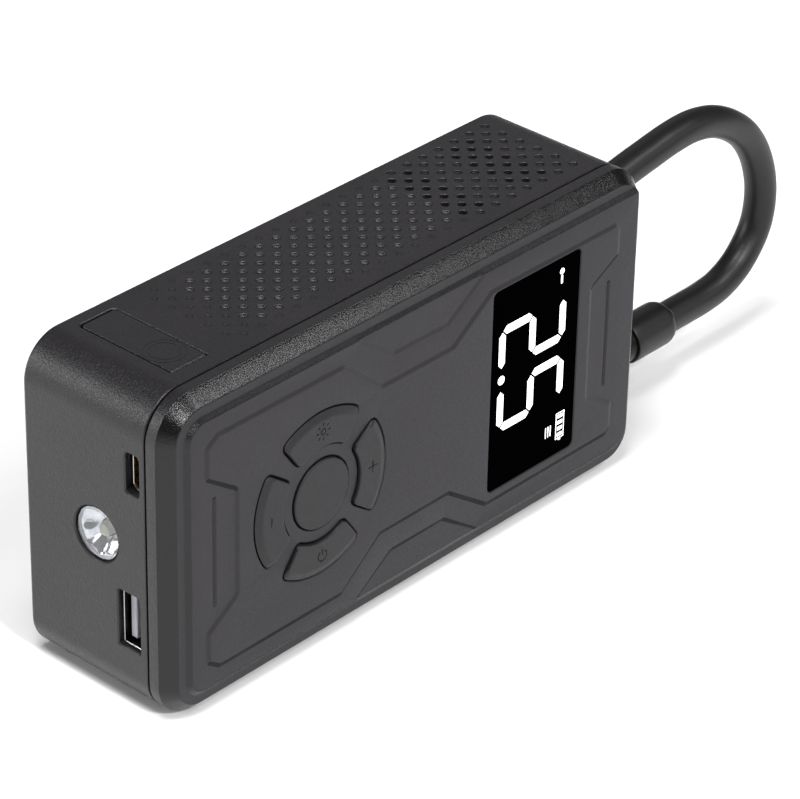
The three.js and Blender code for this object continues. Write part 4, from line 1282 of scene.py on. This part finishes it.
def collar():
    """The sleeve that grips the hose on the chuck."""
    low, high = node_box("hose_collar")
    front, back = low.x, high.x
    r = (high.z - low.z) / 2
    profile = [
        (0, front), (r - 0.45, front), (r - 0.15, front + 0.1), (r - 0.02, front + 0.4), (r, front + 2),
        (r, back - 2.4), (r - 0.12, back - 1.6), (r - 0.42, back - 0.8), (r - 0.95, back - 0.2),
        (r - 1.35, back), (0, back),
    ]
    piece = turned("collar", profile, (0, HOSE_Y, CHUCK_Z), "X", 64)
    soften(finish_piece(piece, HOSE, "connector", "hose_rubber", "hose_collar"))


def chuck():
    """The metal body of the connector: six grooves round it and a bore for the tyre valve."""
    low, high = node_box("chuck_body")
    front, back = low.x, high.x
    r, bore, bottom = (high.z - low.z) / 2, CHUCK_BORE_R, low.x + CHUCK_BORE_DEEP
    profile = [(0, back), (r, back), (r, back - 3)]
    for k in range(6):
        x = back - 3.4 - k * 1.5
        profile += [(r, x), (r - 0.35, x - 0.25), (r - 0.35, x - 0.75), (r, x - 1.0)]
    profile += [(r, front + 0.5), (r - 0.5, front), (bore + 0.25, front), (bore, front + 0.25)]
    profile += [(bore, bottom), (0, bottom)]
    piece = turned("chuck", profile, (0, HOSE_Y, CHUCK_Z), "X", 64)
    # The chuck's nickel is darkened as painted shade for the shadow it lies in.
    soften(finish_piece(piece, NICKEL_IN_SHADE, "connector", "nickel", "chuck_body"), 40)


# ---------- screws in the back ----------
def cross_screws():
    for i, (x, z) in enumerate(CASE_SCREWS, 1):
        low, high = node_box(f"case_screw_{i}")
        foot, top = low.y, high.y
        r = (high.z - low.z) / 2
        profile = [
            (0, foot), (0.5, foot), (1.15, foot + 1), (1.15, top - 2), (r, top - 2), (r, top - 0.7),
            (r - 0.25, top - 0.3), (r - 0.8, top - 0.06), (r - 1.5, top), (0, top),
        ]
        screw = turned("screw", profile, (x, 0, z), "Y", 32)
        for turn in (0.4, 0.4 + QUARTER):
            slot = bar_outline(x, z, 2.7, 0.55, turn)
            carve(screw, skin("tool", [along_y(slot, top - 0.9), along_y(slot, top + 0.5)]))
        screw.name = f"screw_{i}"
        soften(finish_piece(screw, STEEL, "housing", "steel", f"case_screw_{i}"))


add_camera()
hose, hose_path = hose_tube()
rear_shell()
inner_walls()
front_cover()
key_caps()
key_signs()
display_window()
lit_display()
usb_ports()
torch()
flap()
gland()
collar()
chuck()
cross_screws()
paint_carried_nodes()
add_studio()
add_floor()
tuple(hose_path[0])
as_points(hose_path)
